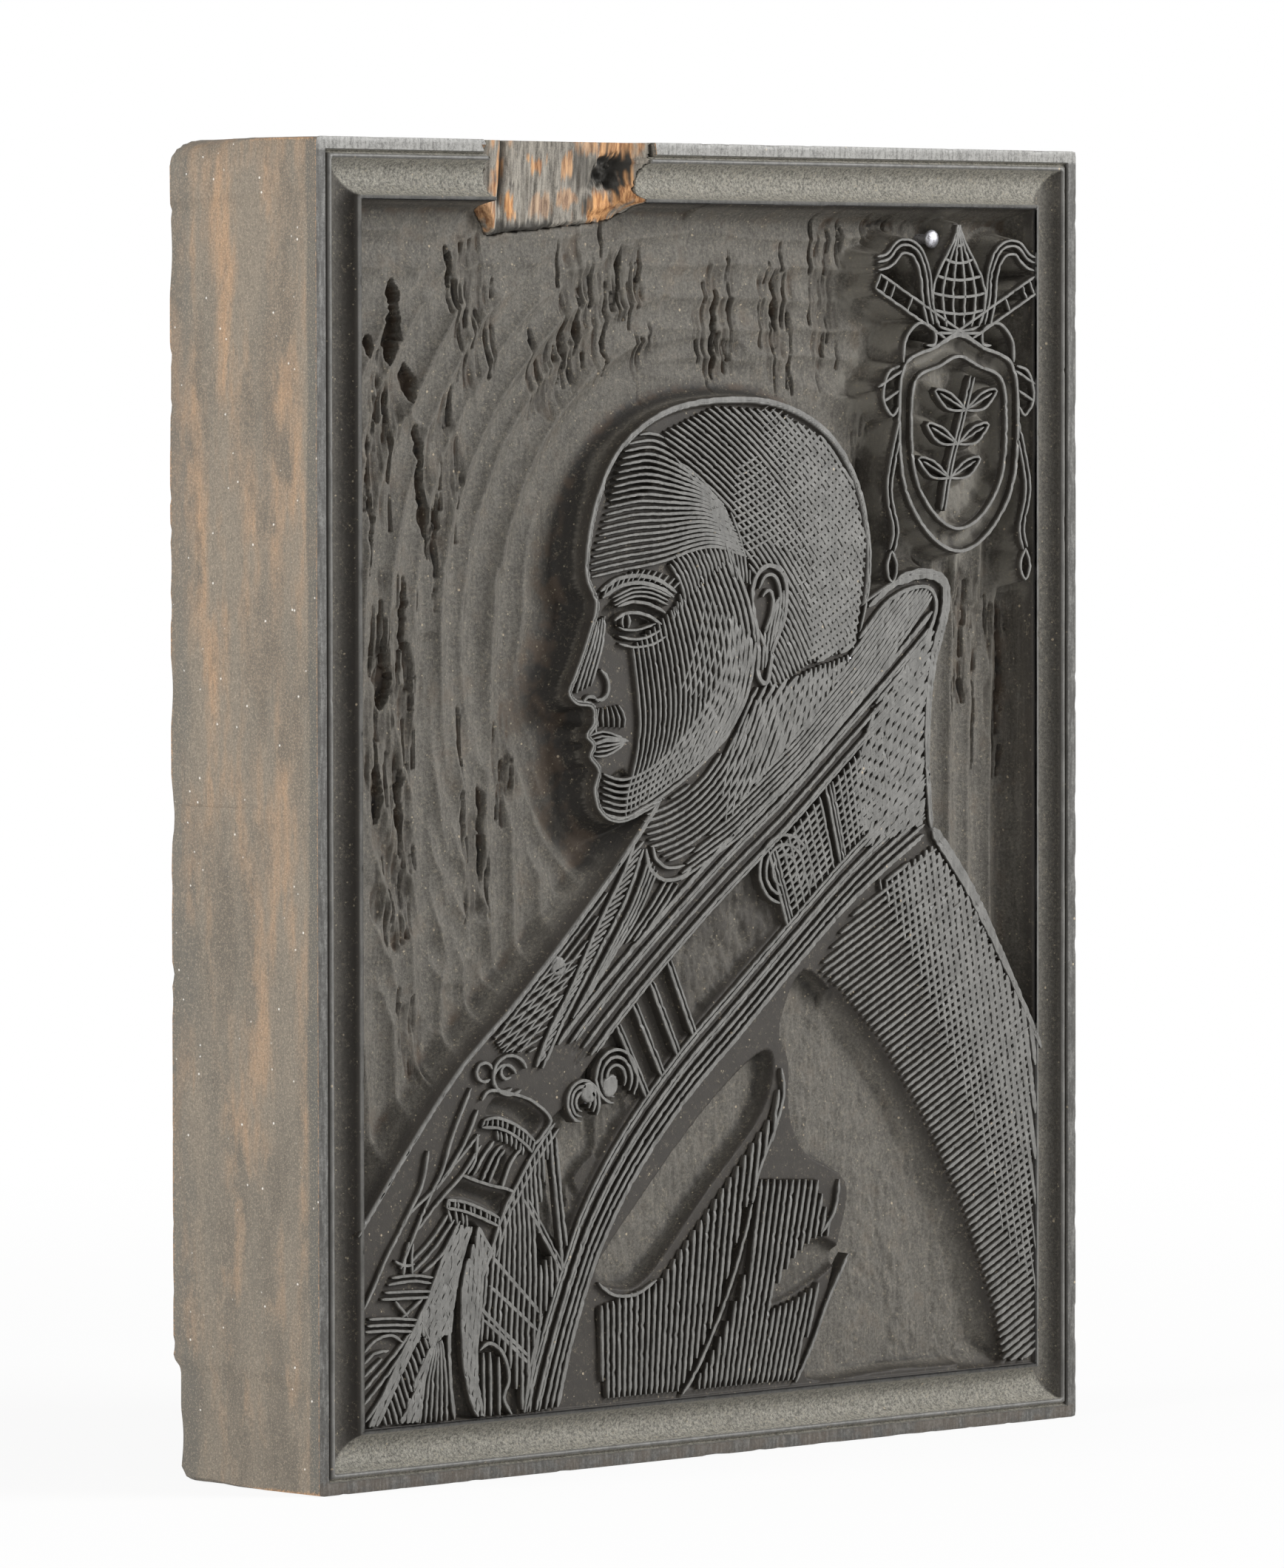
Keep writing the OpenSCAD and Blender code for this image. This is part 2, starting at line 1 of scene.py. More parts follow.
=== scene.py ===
# %% [markdown]
# This scene dresses a hand-cut block for relief printing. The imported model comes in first, as a
# fixed frame: one plank of close-grained wood and five small metal pins. Everything that is
# modelled below replaces or finishes those pieces where they stand, in metres.

# %% Load the frame
import json
import math
import bpy
import numpy as np
from mathutils import Matrix, Vector

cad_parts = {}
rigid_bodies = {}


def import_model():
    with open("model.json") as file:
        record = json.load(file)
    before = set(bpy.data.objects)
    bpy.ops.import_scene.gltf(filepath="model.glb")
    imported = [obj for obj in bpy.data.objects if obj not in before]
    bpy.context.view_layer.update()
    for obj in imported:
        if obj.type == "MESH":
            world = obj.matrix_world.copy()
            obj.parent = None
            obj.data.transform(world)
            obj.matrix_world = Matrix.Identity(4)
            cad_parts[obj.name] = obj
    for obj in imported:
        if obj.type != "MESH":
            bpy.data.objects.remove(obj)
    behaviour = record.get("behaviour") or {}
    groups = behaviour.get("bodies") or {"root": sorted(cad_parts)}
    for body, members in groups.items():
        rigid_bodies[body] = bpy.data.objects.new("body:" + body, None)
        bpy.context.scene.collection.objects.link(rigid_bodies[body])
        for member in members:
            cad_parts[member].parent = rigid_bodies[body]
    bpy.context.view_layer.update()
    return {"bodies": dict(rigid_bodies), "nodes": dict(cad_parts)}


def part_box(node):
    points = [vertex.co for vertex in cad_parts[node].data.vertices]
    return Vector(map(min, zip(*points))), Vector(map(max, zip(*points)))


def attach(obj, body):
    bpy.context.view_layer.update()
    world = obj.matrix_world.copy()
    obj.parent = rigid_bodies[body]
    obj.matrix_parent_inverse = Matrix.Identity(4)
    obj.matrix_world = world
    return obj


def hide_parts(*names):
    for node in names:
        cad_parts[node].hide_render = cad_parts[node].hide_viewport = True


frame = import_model()
scene = bpy.context.scene
scene.view_settings.view_transform = "Standard"
MM = 0.001
body = list(frame["bodies"])[0]
wood_low, wood_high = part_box("wood_block")
print("nodes:", sorted(frame["nodes"]), "body:", body)
print("block, mm:", [round(v / MM, 2) for v in wood_high - wood_low])

# %% [markdown]
# The camera repeats the view of the photograph. Its place was worked out from the corners of
# the block: it stands a long way off with a long lens, to the left of the printing face and
# only a little above it. The focal length is given for a frame 2120 pixels high, and Blender
# measures a lens along the longer side of the picture.

# %% Camera
FOCAL_PX = 13637.5
FRAME_PX = 2120
SENSOR_MM = 36
CAMERA_AT = Vector((-778.65, -796.22, 118.88)) * MM
YAW, TILT, ROLL = math.radians(44.395), math.radians(2.330), math.radians(-0.090)


def camera_turn():
    ahead = Vector((math.sin(YAW) * math.cos(TILT), math.cos(YAW) * math.cos(TILT), -math.sin(TILT)))
    level = Vector((math.cos(YAW), -math.sin(YAW), 0))
    above = level.cross(ahead)
    right = level * math.cos(ROLL) + above * math.sin(ROLL)
    up = above * math.cos(ROLL) - level * math.sin(ROLL)
    return Matrix((right, up, -ahead)).transposed()


bpy.ops.object.camera_add(location=CAMERA_AT)
camera = bpy.context.object
camera.name = "camera"
camera.rotation_euler = camera_turn().to_euler()
camera.data.sensor_width = SENSOR_MM
camera.data.lens = FOCAL_PX * SENSOR_MM / FRAME_PX
camera.data.clip_end = 20
scene.camera = camera
print("lens, mm:", round(camera.data.lens, 1))

# %% [markdown]
# Shader maths is easier to read as arithmetic than as a tangle of wires. This class holds one
# output socket of a material. Its operators add Math nodes, and every other node comes from
# one method, which sets the node's choices first and its inputs after them.


# %% Arithmetic on shader sockets
class Shade:
    def __init__(self, socket):
        self.socket = socket

    def node(self, kind, settings=None, inputs=None, output=0):
        tree = self.socket.id_data
        made = tree.nodes.new(kind)
        for name, value in (settings or {}).items():
            setattr(made, name, value)
        for name, value in (inputs or {}).items():
            if isinstance(value, Shade):
                tree.links.new(value.socket, made.inputs[name])
            else:
                made.inputs[name].default_value = value
        return Shade(made.outputs[output])

    def math(self, operation, *others):
        return self.node("ShaderNodeMath", {"operation": operation}, dict(enumerate((self, *others))))

    def __add__(self, other):
        return self.math("ADD", other)

    def __sub__(self, other):
        return self.math("SUBTRACT", other)

    def __rsub__(self, other):
        return self.node("ShaderNodeMath", {"operation": "SUBTRACT"}, {0: other, 1: self})

    def __mul__(self, other):
        return self.math("MULTIPLY", other)

    def at_most(self, other):
        return self.math("MINIMUM", other)

    def at_least(self, other):
        return self.math("MAXIMUM", other)

    def rise(self, low, high):
        """0 below low and 1 above high, smoothly in between; high may be the smaller one."""
        return self.node(
            "ShaderNodeMapRange", {"interpolation_type": "SMOOTHSTEP"}, {0: self, 1: low, 2: high}
        )

    def tint(self, dark, light):
        """A colour between two, by this value."""
        colours = [c if isinstance(c, Shade) else (*c, 1) for c in (dark, light)]
        return self.node(
            "ShaderNodeMix", {"data_type": "RGBA"}, {0: self, 6: colours[0], 7: colours[1]}, output=2
        )

    def part(self, index):
        return self.node("ShaderNodeSeparateXYZ", inputs={0: self}, output=index)

    def stretched(self, scale):
        return self.node("ShaderNodeMapping", inputs={"Vector": self, "Scale": scale})

    def noise(self, scale, detail=3.0, rough=0.55):
        settings = {"Scale": scale, "Detail": detail, "Roughness": rough}
        return self.node("ShaderNodeTexNoise", inputs={"Vector": self, **settings})

    def cells(self, scale):
        return self.node("ShaderNodeTexVoronoi", inputs={"Vector": self, "Scale": scale})


def new_material(name):
    """A material, its surface shader, and object coordinates in millimetres."""
    material = bpy.data.materials.new(name)
    material.use_nodes = True
    surface = material.node_tree.nodes["Principled BSDF"]
    coordinates = material.node_tree.nodes.new("ShaderNodeTexCoord")
    place = Shade(coordinates.outputs["Object"]).stretched((1 / MM,) * 3)
    return material, surface, place


def finish(surface, colour, roughness, height=None, strength=1.0, distance=0.1):
    """Wires a colour, a roughness and a bump height in millimetres into the surface shader."""
    tree = surface.id_data
    tree.links.new(colour.socket, surface.inputs["Base Color"])
    tree.links.new(roughness.socket, surface.inputs["Roughness"])
    if height is not None:
        inputs = {"Strength": strength, "Distance": distance * MM, "Height": height}
        tree.links.new(height.node("ShaderNodeBump", inputs=inputs).socket, surface.inputs["Normal"])


print("shader arithmetic is ready")

# %% [markdown]
# The printing face is black from years of ink. Where the roller reached, the wood is polished,
# and its blue-grey sheen is painted into the colour as a lighter tint over the ink. The walls
# and troughs that it missed are dark brown, the cleared ground is a duller grey, and tan dust
# has settled in the hollows. One material does all of it from the depth below the printing face,
# which is simply the object's Y coordinate. Two attributes that the carving stores on its points
# do the rest: one marks torn grain and, as painted shade, the steep walls of the cracks; the
# other darkens the hollows with dirt and painted shade, and lightens the crests with dust and
# painted light. The coves along the top and the foot are coloured paler than the upright ones,
# and the right-hand cove is a little paler as painted light.

# %% Inked wood
FACE_Y = wood_low.y / MM
HALF_W = wood_high.x / MM
HALF_T = wood_high.y / MM
TOP_Z = wood_high.z / MM


def inked_wood():
    material, surface, place = new_material("inked_wood")
    depth = place.part(1) - FACE_Y
    torn = place.node("ShaderNodeAttribute", {"attribute_name": "torn"}, output=2)
    hollow = place.node("ShaderNodeAttribute", {"attribute_name": "hollow"}, output=2)
    grain = place.stretched((1, 1, 0.12)).noise(2.2, 4, 0.6)
    mottle = place.noise(0.35, 3, 0.6)
    fine = place.noise(5.5, 3, 0.7)
    grit = place.noise(3.0, 5, 0.8)
    # Painted sheen: the rubbed printing surface gets a lighter blue-grey than the ink, standing in for its
    # sheen.
    sheen = (grain * 0.35 + mottle * 0.35 + grit * 0.3).rise(0.34, 0.66)
    polished_with_painted_sheen = sheen.tint((0.092, 0.090, 0.083), (0.196, 0.192, 0.180))
    trough = mottle.tint((0.016, 0.013, 0.010), (0.038, 0.032, 0.025))
    dull = (grit * 0.6 + grain * 0.22 + mottle * 0.18).rise(0.36, 0.64)
    ground = dull.tint((0.058, 0.052, 0.043), (0.160, 0.148, 0.126))
    colour = depth.rise(0.04, 0.32).tint(polished_with_painted_sheen, trough)
    colour = depth.rise(0.7, 2.6).tint(colour, ground)
    # The coves along the top and the foot are coloured paler, with tan specks.
    from_side = HALF_W - place.part(0).math("ABSOLUTE")
    from_end = place.part(2).at_most(TOP_Z - place.part(2))
    level = (from_side - from_end).rise(-0.1, 0.5) * from_end.rise(6.6, 6.3) * depth.rise(0.05, 0.35)
    pale_cove_colour = (grit * 0.7 + fine * 0.3).rise(0.36, 0.66).tint((0.080, 0.076, 0.064), (0.43, 0.41, 0.35))
    colour = (level * 0.9).tint(colour, pale_cove_colour)
    # Painted light: the right-hand cove, on the side of the key lamp, is made a little paler.
    right_cove = place.part(0).rise(HALF_W - 6.6, HALF_W - 6.1) * depth.rise(0.2, 0.6) * 0.16
    colour = right_cove.tint(colour, pale_cove_colour)
    rim = depth.rise(0.12, 0.02) * from_end.at_most(from_side).rise(1.45, 1.35)
    colour = (rim * (grit * 0.5 + grain * 0.5).rise(0.66, 0.40) * 0.9).tint(colour, (0.048, 0.045, 0.040))
    # Painted highlight: the top edge of the front rim is made pale grey, where the light from above catches
    # it.
    top_rim_painted_highlight = rim * place.part(2).rise(TOP_Z - 1.6, TOP_Z - 1.2) * (grit * 0.6 + grain * 0.4).rise(0.3, 0.6)
    colour = (top_rim_painted_highlight * 0.7).tint(colour, (0.36, 0.355, 0.335))
    foot_rim = rim * place.part(2).rise(1.7, 1.2) * mottle.rise(0.35, 0.6)
    colour = (foot_rim * 0.5).tint(colour, (0.085, 0.062, 0.042))
    # Torn grain is darkened, and with it the steep walls of the cracks as painted shade.
    colour = (torn * 0.42).tint(colour, fine.tint((0.012, 0.010, 0.008), (0.085, 0.070, 0.052)))
    warm = mottle.rise(0.52, 0.72) * depth.rise(1.5, 3.5) * 0.35
    colour = warm.tint(colour, (0.085, 0.058, 0.036))
    # Painted shade together with dirt darkens the hollows; painted light together with dust and rub lightens
    # the crests.
    colour = (hollow.rise(0.05, 0.75) * 0.92).tint(colour, (0.012, 0.010, 0.008))
    colour = (hollow.rise(-0.03, -0.32) * 0.6).tint(colour, (0.200, 0.188, 0.160))
    stained = hollow.rise(0.1, 0.4) * depth.rise(3.3, 4) * mottle.rise(0.38, 0.6) * 0.5
    colour = stained.tint(colour, (0.090, 0.060, 0.038))
    settled = place.noise(0.8, 3, 0.7).rise(0.46, 0.62) * grit.rise(0.52, 0.64) * depth.rise(0.2, 0.8)
    colour = (settled * 0.6).tint(colour, (0.245, 0.210, 0.150))
    dust = place.cells(1.25).rise(0.17, 0.08) * place.noise(1.7, 2).rise(0.50, 0.56) * depth.rise(-0.4, 0.8)
    colour = (dust * 0.75).tint(colour, (0.36, 0.31, 0.22))
    speck = place.cells(0.55).rise(0.11, 0.05) * place.noise(0.9, 1).rise(0.56, 0.6)
    colour = (speck * 0.8).tint(colour, (0.46, 0.38, 0.27))
    roughness = depth.rise(0.02, 0.5) * 0.22 + fine * 0.12 + 0.36
    height = fine * 0.35 + grain * 0.25 + torn * grain * 1.6 + grit * depth.rise(0.2, 1.4) * 1.5
    finish(surface, colour, roughness, height, 0.8, 0.09)
    surface.inputs["Specular IOR Level"].default_value = 0.42
    return material


ink = inked_wood()
print("material:", ink.name)

# %% [markdown]
# The sides and the bed side were never inked on purpose. They are brown pear-like wood, dulled
# by grey handling dirt in long upright streaks, with a dark stain of ink along the printing
# edge, rubbed orange right on the edges, and dotted with pale specks.


# %% Plank wood
def plank_wood():
    material, surface, place = new_material("plank_wood")
    streaks = place.stretched((1, 1, 0.17)).noise(0.24, 5, 0.6)
    fibres = place.stretched((1, 1, 0.12)).noise(4.5, 3, 0.6)
    patches = place.stretched((1, 1, 0.35)).noise(0.12, 4, 0.6)
    mottle = place.stretched((1, 1, 0.5)).noise(0.5, 4, 0.65)
    fine = place.noise(7, 2, 0.6)
    grit = place.noise(4.0, 4, 0.75)
    mixed = (streaks * 0.6 + patches * 0.4).rise(0.44, 0.58)
    brown = mixed.tint((0.176, 0.150, 0.118), (0.318, 0.206, 0.124))
    low_down = place.part(2).rise(90, 10) * 0.35
    dirt = patches.rise(0.43, 0.58) * 0.75 + grit.rise(0.46, 0.62) * 0.18 + low_down
    colour = dirt.at_most(0.95).tint(brown, (0.138, 0.122, 0.099))
    darker = (patches * 0.5 + streaks * 0.3 + mottle * 0.2).rise(0.50, 0.60) * 0.5
    colour = darker.tint(colour, (0.070, 0.064, 0.054))
    grime = (fine * 0.35 + grit * 0.65).rise(0.48, 0.62) * 0.42 + fibres.rise(0.5, 0.72) * 0.3
    colour = grime.tint(colour, (0.082, 0.072, 0.058))
    depth = place.part(1) - FACE_Y
    back_stain = (patches * 9 - (HALF_T - place.part(1))).rise(0, 2.6) * 0.55
    colour = back_stain.tint(colour, (0.098, 0.094, 0.083))
    edge_ink = (streaks * 2.2 + 0.75 - depth).rise(0, 0.55) * 0.8
    colour = edge_ink.tint(colour, (0.078, 0.078, 0.070))
    side = place.part(0).math("ABSOLUTE")
    from_back = HALF_T - place.part(1)
    from_side = HALF_W - side
    from_end = (place.part(2)).at_most(TOP_Z - place.part(2))
    edge = (from_back + from_side).at_most(from_end + from_back).at_most(from_end + from_side)
    worn = (edge + grit * 1.5).rise(1.35, 0.75) * 0.9
    colour = worn.tint(colour, fibres.tint((0.26, 0.125, 0.048), (0.50, 0.27, 0.12)))
    front_edge = (depth + grit * 0.8).rise(0.62, 0.40) * 0.9
    colour = front_edge.tint(colour, (0.30, 0.17, 0.085))
    pale = (fine * 0.4 + grit * 0.6).rise(0.50, 0.38) * 0.36
    colour = pale.tint(colour, (0.40, 0.335, 0.255))
    speck = place.cells(0.62).rise(0.105, 0.045) * place.noise(0.8, 1).rise(0.50, 0.56)
    colour = (speck * 0.85).tint(colour, (0.66, 0.64, 0.60))
    roughness = fibres * 0.15 + 0.55
    height = fibres * 0.6 + fine * 0.3
    finish(surface, colour, roughness, height, 0.7, 0.08)
    surface.inputs["Specular IOR Level"].default_value = 0.35
    return material


plank = plank_wood()
print("material:", plank.name)

# %% [markdown]
# Where a splinter broke off the top edge, the wood inside shows: grey and tan fibres, fresh
# orange in patches, and black where ink ran into the break. Where it is fresh and where it is
# black comes from two attributes of the broken surface. The metal of the pins is a soft grey
# steel, bright where it has been rubbed and pitted by old corrosion.


# %% Raw wood and pin metal
def raw_wood():
    material, surface, place = new_material("raw_wood")
    fibres = place.stretched((1, 1, 0.10)).noise(2.6, 4, 0.65)
    blotch = place.stretched((1, 1, 0.45)).noise(0.26, 3, 0.6)
    fine = place.noise(6, 3, 0.7)
    fresh = place.node("ShaderNodeAttribute", {"attribute_name": "fresh"}, output=2)
    black = place.node("ShaderNodeAttribute", {"attribute_name": "black"}, output=2)
    orange = fibres.rise(0.3, 0.68).tint((0.25, 0.095, 0.030), (0.74, 0.40, 0.17))
    stale = (fibres * 0.7 + fine * 0.3).rise(0.3, 0.66).tint((0.085, 0.076, 0.064), (0.35, 0.322, 0.275))
    colour = (blotch.rise(0.56, 0.66) * 0.75).at_least(fresh).tint(stale, orange)
    soot = place.stretched((1, 1, 0.6)).noise(0.34, 4, 0.7).rise(0.60, 0.70) * 0.7
    colour = soot.at_least(black).tint(colour, (0.030, 0.028, 0.024))
    roughness = fine * 0.2 + 0.55
    finish(surface, colour, roughness, fibres * 0.8 + fine * 0.3, 0.8, 0.15)
    surface.inputs["Specular IOR Level"].default_value = 0.3
    return material


def pin_steel():
    material, surface, place = new_material("pin_steel")
    pits = place.noise(3.2, 4, 0.7)
    rubbed = place.noise(1.1, 2)
    colour = pits.rise(0.32, 0.50).tint((0.16, 0.15, 0.15), (0.62, 0.62, 0.66))
    roughness = pits.rise(0.7, 0.35) * 0.35 + rubbed * 0.1 + 0.22
    finish(surface, colour, roughness, pits, 0.5, 0.05)
    surface.inputs["Metallic"].default_value = 0.85
    return material


raw = raw_wood()
steel = pin_steel()
print("materials:", raw.name, steel.name)

# %% [markdown]
# The picture is drawn flat, in millimetres, before any of it is modelled: x runs across the
# block from its middle, and z runs up from the foot of the field inside the border. A smooth
# line is a spline through a few given points. Long runs of parallel lines are worked out
# by a rule, as an engraver would rule them, and then clipped to the part of the picture that
# they shade.

# %% Lines and outlines
BORDER_W = 6.5
FIELD_W = 2 * (HALF_W - BORDER_W)
FIELD_H = TOP_Z - 2 * BORDER_W


def smooth(points, steps=6, closed=False):
    """A curve through the points, as a Catmull-Rom spline."""
    p = np.array(points, float)
    p = np.vstack([p[-1:], p, p[:2]]) if closed else np.vstack([p[:1], p, p[-1:]])
    t = np.linspace(0, 1, steps, endpoint=False)[:, None]
    spans = [
        0.5 * (2 * b + (c - a) * t + (2 * a - 5 * b + 4 * c - d) * t**2 + (3 * b - a - 3 * c + d) * t**3)
        for a, b, c, d in zip(p, p[1:], p[2:], p[3:])
    ]
    return np.vstack(spans if closed else spans + [p[-1:]])


def evenly(path, step):
    """The same path with points at an even distance."""
    path = np.array(path, float)
    run = np.r_[0, np.cumsum(np.hypot(*np.diff(path, axis=0).T))]
    at = np.linspace(0, run[-1], max(2, int(round(run[-1] / step)) + 1))
    return np.column_stack([np.interp(at, run, path[:, 0]), np.interp(at, run, path[:, 1])])


def contains(ring, points):
    """Which of the points lie inside a closed outline."""
    ring, points = np.array(ring, float), np.array(points, float)
    odd = np.zeros(len(points), bool)
    for (ax, az), (bx, bz) in zip(ring, np.roll(ring, -1, axis=0)):
        if az != bz:
            spans = (az > points[:, 1]) != (bz > points[:, 1])
            odd ^= spans & (points[:, 0] < ax + (points[:, 1] - az) * (bx - ax) / (bz - az))
    return odd


def between(first, last, count):
    """Lines that turn one guide line gradually into another."""
    ends = [evenly(line, 1) for line in (first, last)]
    at = np.linspace(0, 1, 60)
    a, b = [
        np.column_stack([np.interp(at, np.linspace(0, 1, len(e)), e[:, i]) for i in (0, 1)])
        for e in ends
    ]
    return [a + (b - a) * s for s in np.linspace(0, 1, count)]


def arcs(middle, radii, first, last):
    """Arcs about one middle, between two angles in degrees."""
    turn = np.radians(np.linspace(first, last, 90))
    ring = np.column_stack([np.cos(turn), np.sin(turn)])
    return [np.array(middle) + ring * r for r in radii]


def ruled(middle, angle, pitch, count, reach=60, bow=0.0):
    """Parallel lines at an angle from the x axis, numbered either side of the middle."""
    along = np.array([math.cos(math.radians(angle)), math.sin(math.radians(angle))])
    across = np.array([-along[1], along[0]])
    t = np.linspace(-reach, reach, 120)[:, None]
    return [
        np.array(middle) + along * t + across * (k * pitch + bow * (t / reach) ** 2)
        for k in range(-count, count + 1)
    ]


print("field, mm:", FIELD_W, "by", FIELD_H)

# %% [markdown]
# The head is drawn in shares of its height, on the proportions of any drawing book: brow, nose
# and chin stand a third of the face apart and the eye is at half height. The dress is drawn
# round it: a strip of shirt down the chest, a wide band that crosses the body, a clasp, a
# sleeve, a hood and a shoulder.

# %% Outlines of the figure
HEAD_H, HEAD_TILT = 45, math.radians(3)
BROW_X, CHIN_Z = -18.6, 64.6
HEAD_MID = np.array([0.48, 0.5])


def on_head(points):
    q = (np.array(points, float) - HEAD_MID) * HEAD_H
    c, s = math.cos(HEAD_TILT), math.sin(HEAD_TILT)
    turned = np.column_stack([q[:, 0] * c - q[:, 1] * s, q[:, 0] * s + q[:, 1] * c])
    return turned + np.array([BROW_X, CHIN_Z]) + HEAD_MID * HEAD_H


face_line = [
    [0.45, 1], [0.27, 0.975], [0.13, 0.9], [0.05, 0.79], [0.012, 0.69], [0, 0.6],
    [0.028, 0.53], [0, 0.46], [-0.045, 0.375], [-0.074, 0.325], [-0.05, 0.296], [0, 0.285],
    [0.004, 0.245], [-0.022, 0.216], [0, 0.192], [-0.014, 0.165], [0.014, 0.13],
    [-0.002, 0.08], [0.022, 0.022], [0.09, 0], [0.2, 0.03],
]
skull_line = [
    [0.34, 0.03], [0.6, -0.06], [0.9, 0.2], [0.93, 0.4], [0.965, 0.5], [0.975, 0.62],
    [0.94, 0.77], [0.84, 0.9], [0.67, 0.98],
]
head_ring = smooth(on_head(face_line + skull_line), closed=True)
ear_ring = smooth(on_head([
    [0.56, 0.5], [0.575, 0.56], [0.625, 0.585], [0.675, 0.55], [0.67, 0.46], [0.625, 0.38],
    [0.6, 0.3], [0.57, 0.32], [0.575, 0.4],
]), closed=True)
skull_zone = on_head([
    [0.27, 0.93], [0.45, 0.985], [0.66, 0.965], [0.82, 0.89], [0.93, 0.76], [0.965, 0.62],
    [0.945, 0.5], [0.91, 0.36], [0.74, 0.33], [0.63, 0.28], [0.59, 0.29], [0.57, 0.42], [0.565, 0.56],
    [0.5, 0.72], [0.42, 0.79], [0.31, 0.87],
])
chest_line = smooth([[-8, 66], [-13, 60.5], [-20, 53.6], [-29.5, 45], [-37.7, 38.3], [-45, 30.5], [-53, 21]])
shoulder_line = smooth([[53, 36], [50.4, 40.5], [46.5, 46.7], [41.5, 54.2], [35.3, 61.5]])
hood_line = smooth([
    [35.3, 61.5], [34.7, 68], [34.7, 73.5], [35.6, 80], [37.6, 86], [37.2, 89.3], [33.6, 90.4],
    [29, 89.4], [23, 86.6],
])
dress_ring = np.vstack([chest_line, [[-53, -1], [53, -1]], shoulder_line, hood_line, [[10, 75]]])
band_upper = [
    [36.2, 87], [29.6, 81.4], [21.5, 75], [12, 67.6], [2.5, 61.2], [-7, 54], [-16.4, 46.4],
    [-24, 39.4], [-29.5, 31.6], [-36, 20], [-42, 6], [-44, -3],
]
band_lower = [
    [35, 61.2], [27.6, 57], [20.8, 52.6], [12.6, 46.2], [4.4, 39.4], [-4, 32.6], [-11.4, 25],
    [-17, 17], [-20.6, 9], [-22.6, 3], [-23.6, -1], [-24, -3],
]
lining_ring = smooth([
    [15, 46.4], [21, 42.4], [26.5, 37], [33.2, 28.3], [39.8, 17.5], [45, 5], [46.4, 0.9],
    [30, 0.9], [15.4, 0.9], [18, 8.6], [20.4, 16], [21.6, 22.4], [15.4, 25.8], [12.8, 30],
    [12.6, 36], [11.2, 40.4],
], 4, True)
sleeve_ring = np.array([
    [11, 34], [10.6, 29], [7, 23.6], [16.8, 23], [18.8, 18], [16.6, 9], [13, 0.9],
    [-16.4, 0.9], [-17.6, 11], [-8, 13.2], [1, 22], [9, 30],
])
sleeve_white = smooth([
    [-17.4, 14.8], [-13.6, 12.6], [-9, 13.8], [0, 22.6], [8.4, 30.6], [10.4, 36.6], [7.6, 37.4],
    [-1, 31.4], [-11, 22],
], 4, True)
sleeve_gap = smooth([
    [5.4, 20.4], [3, 14], [-0.4, 7], [-4.8, 0.9], [-3.4, 0.9], [1.8, 7], [5.4, 13.4], [7.2, 19.6],
], 4, True)
sleeve_leaf = smooth([[9.2, 9.4], [14.4, 10.4], [21, 14.2], [17.4, 16.6], [12.6, 14]], 4, True)
shoulder_zone = np.array([
    [35.2, 59.6], [41, 53.4], [46, 46], [50.8, 38.4], [51.9, 0.6], [46.6, 0.6], [45, 7], [40, 18.6],
    [33.4, 29.4], [27, 37.8], [21, 43.4], [17, 46.2], [21.6, 51.6], [28, 56],
])
hood_zone = np.array([
    [33.9, 62], [33.7, 68], [33.7, 73.5], [34.6, 80], [35.6, 84.4], [30, 79], [25.2, 74.4], [22, 66],
    [24.4, 59.4],
])
band_u, band_l = smooth(band_upper, 8), smooth(band_lower, 8)


def band_point(s, t):
    """s counts the points along the band, and t runs from its upper edge to its lower."""
    i = np.asarray(s) * 8
    counted = np.arange(len(band_u))
    up = np.column_stack([np.interp(i, counted, band_u[:, k]) for k in (0, 1)])
    low = np.column_stack([np.interp(i, counted, band_l[:, k]) for k in (0, 1)])
    t = np.asarray(t, float).reshape(-1, 1)
    return up * (1 - t) + low * t


BAND_SKEW = 0.6


def across_band(s, t):
    """The same for lines that cross the band at a slant."""
    return band_point(s + BAND_SKEW * (0.5 - t), t)


def along_band(t, first=0.2, last=10.8):
    s = np.linspace(first, last, 90)
    return band_point(s, np.full(len(s), t))


print("head points:", len(head_ring), "dress points:", len(dress_ring))

# %% [markdown]
# The shield is a plain one with a leafy sprig, under a ribbed bud, before two crossed staffs,
# with a ribbon and a tasselled cord at each side. On a block like this such a badge is cut as
# thin standing lines with deep hollows between them.

# %% Outlines of the shield
SHIELD_MID = np.array([39.4, 105])
shield_points = [
    [-8.6, 8.4], [-4, 10.2], [0, 11.6], [4, 10.2], [8.6, 8.4], [9.6, 3], [8.8, -5],
    [5, -10.4], [0, -12.6], [-5, -10.4], [-8.8, -5], [-9.6, 3],
]
shield_ring = SHIELD_MID + smooth(shield_points, 6, True)
shield_inner = SHIELD_MID + smooth(shield_points, 6, True) * 0.8
BUD_FOOT, BUD_ROW_H = 117.6, 1.9
BUD_ROWS = [3.2, 4.1, 4.3, 3.6, 2.3, 0.9]


def offset(path, distance):
    """The path moved sideways, to its left for a positive distance."""
    path = np.asarray(path, float)
    run = np.gradient(path, axis=0)
    run /= np.maximum(np.hypot(*run.T), 1e-9)[:, None]
    return path + np.column_stack([-run[:, 1], run[:, 0]]) * distance


def bud_curve(x_share):
    """A rib of the bud, from its foot to its top, at a share of its half width."""
    z = np.linspace(0, len(BUD_ROWS) * BUD_ROW_H, 24)
    half = np.interp(z, np.arange(len(BUD_ROWS)) * BUD_ROW_H, BUD_ROWS)
    half *= np.clip((len(BUD_ROWS) * BUD_ROW_H - z) / BUD_ROW_H, 0.25, 1)
    return np.column_stack([SHIELD_MID[0] + half * x_share, BUD_FOOT + z])


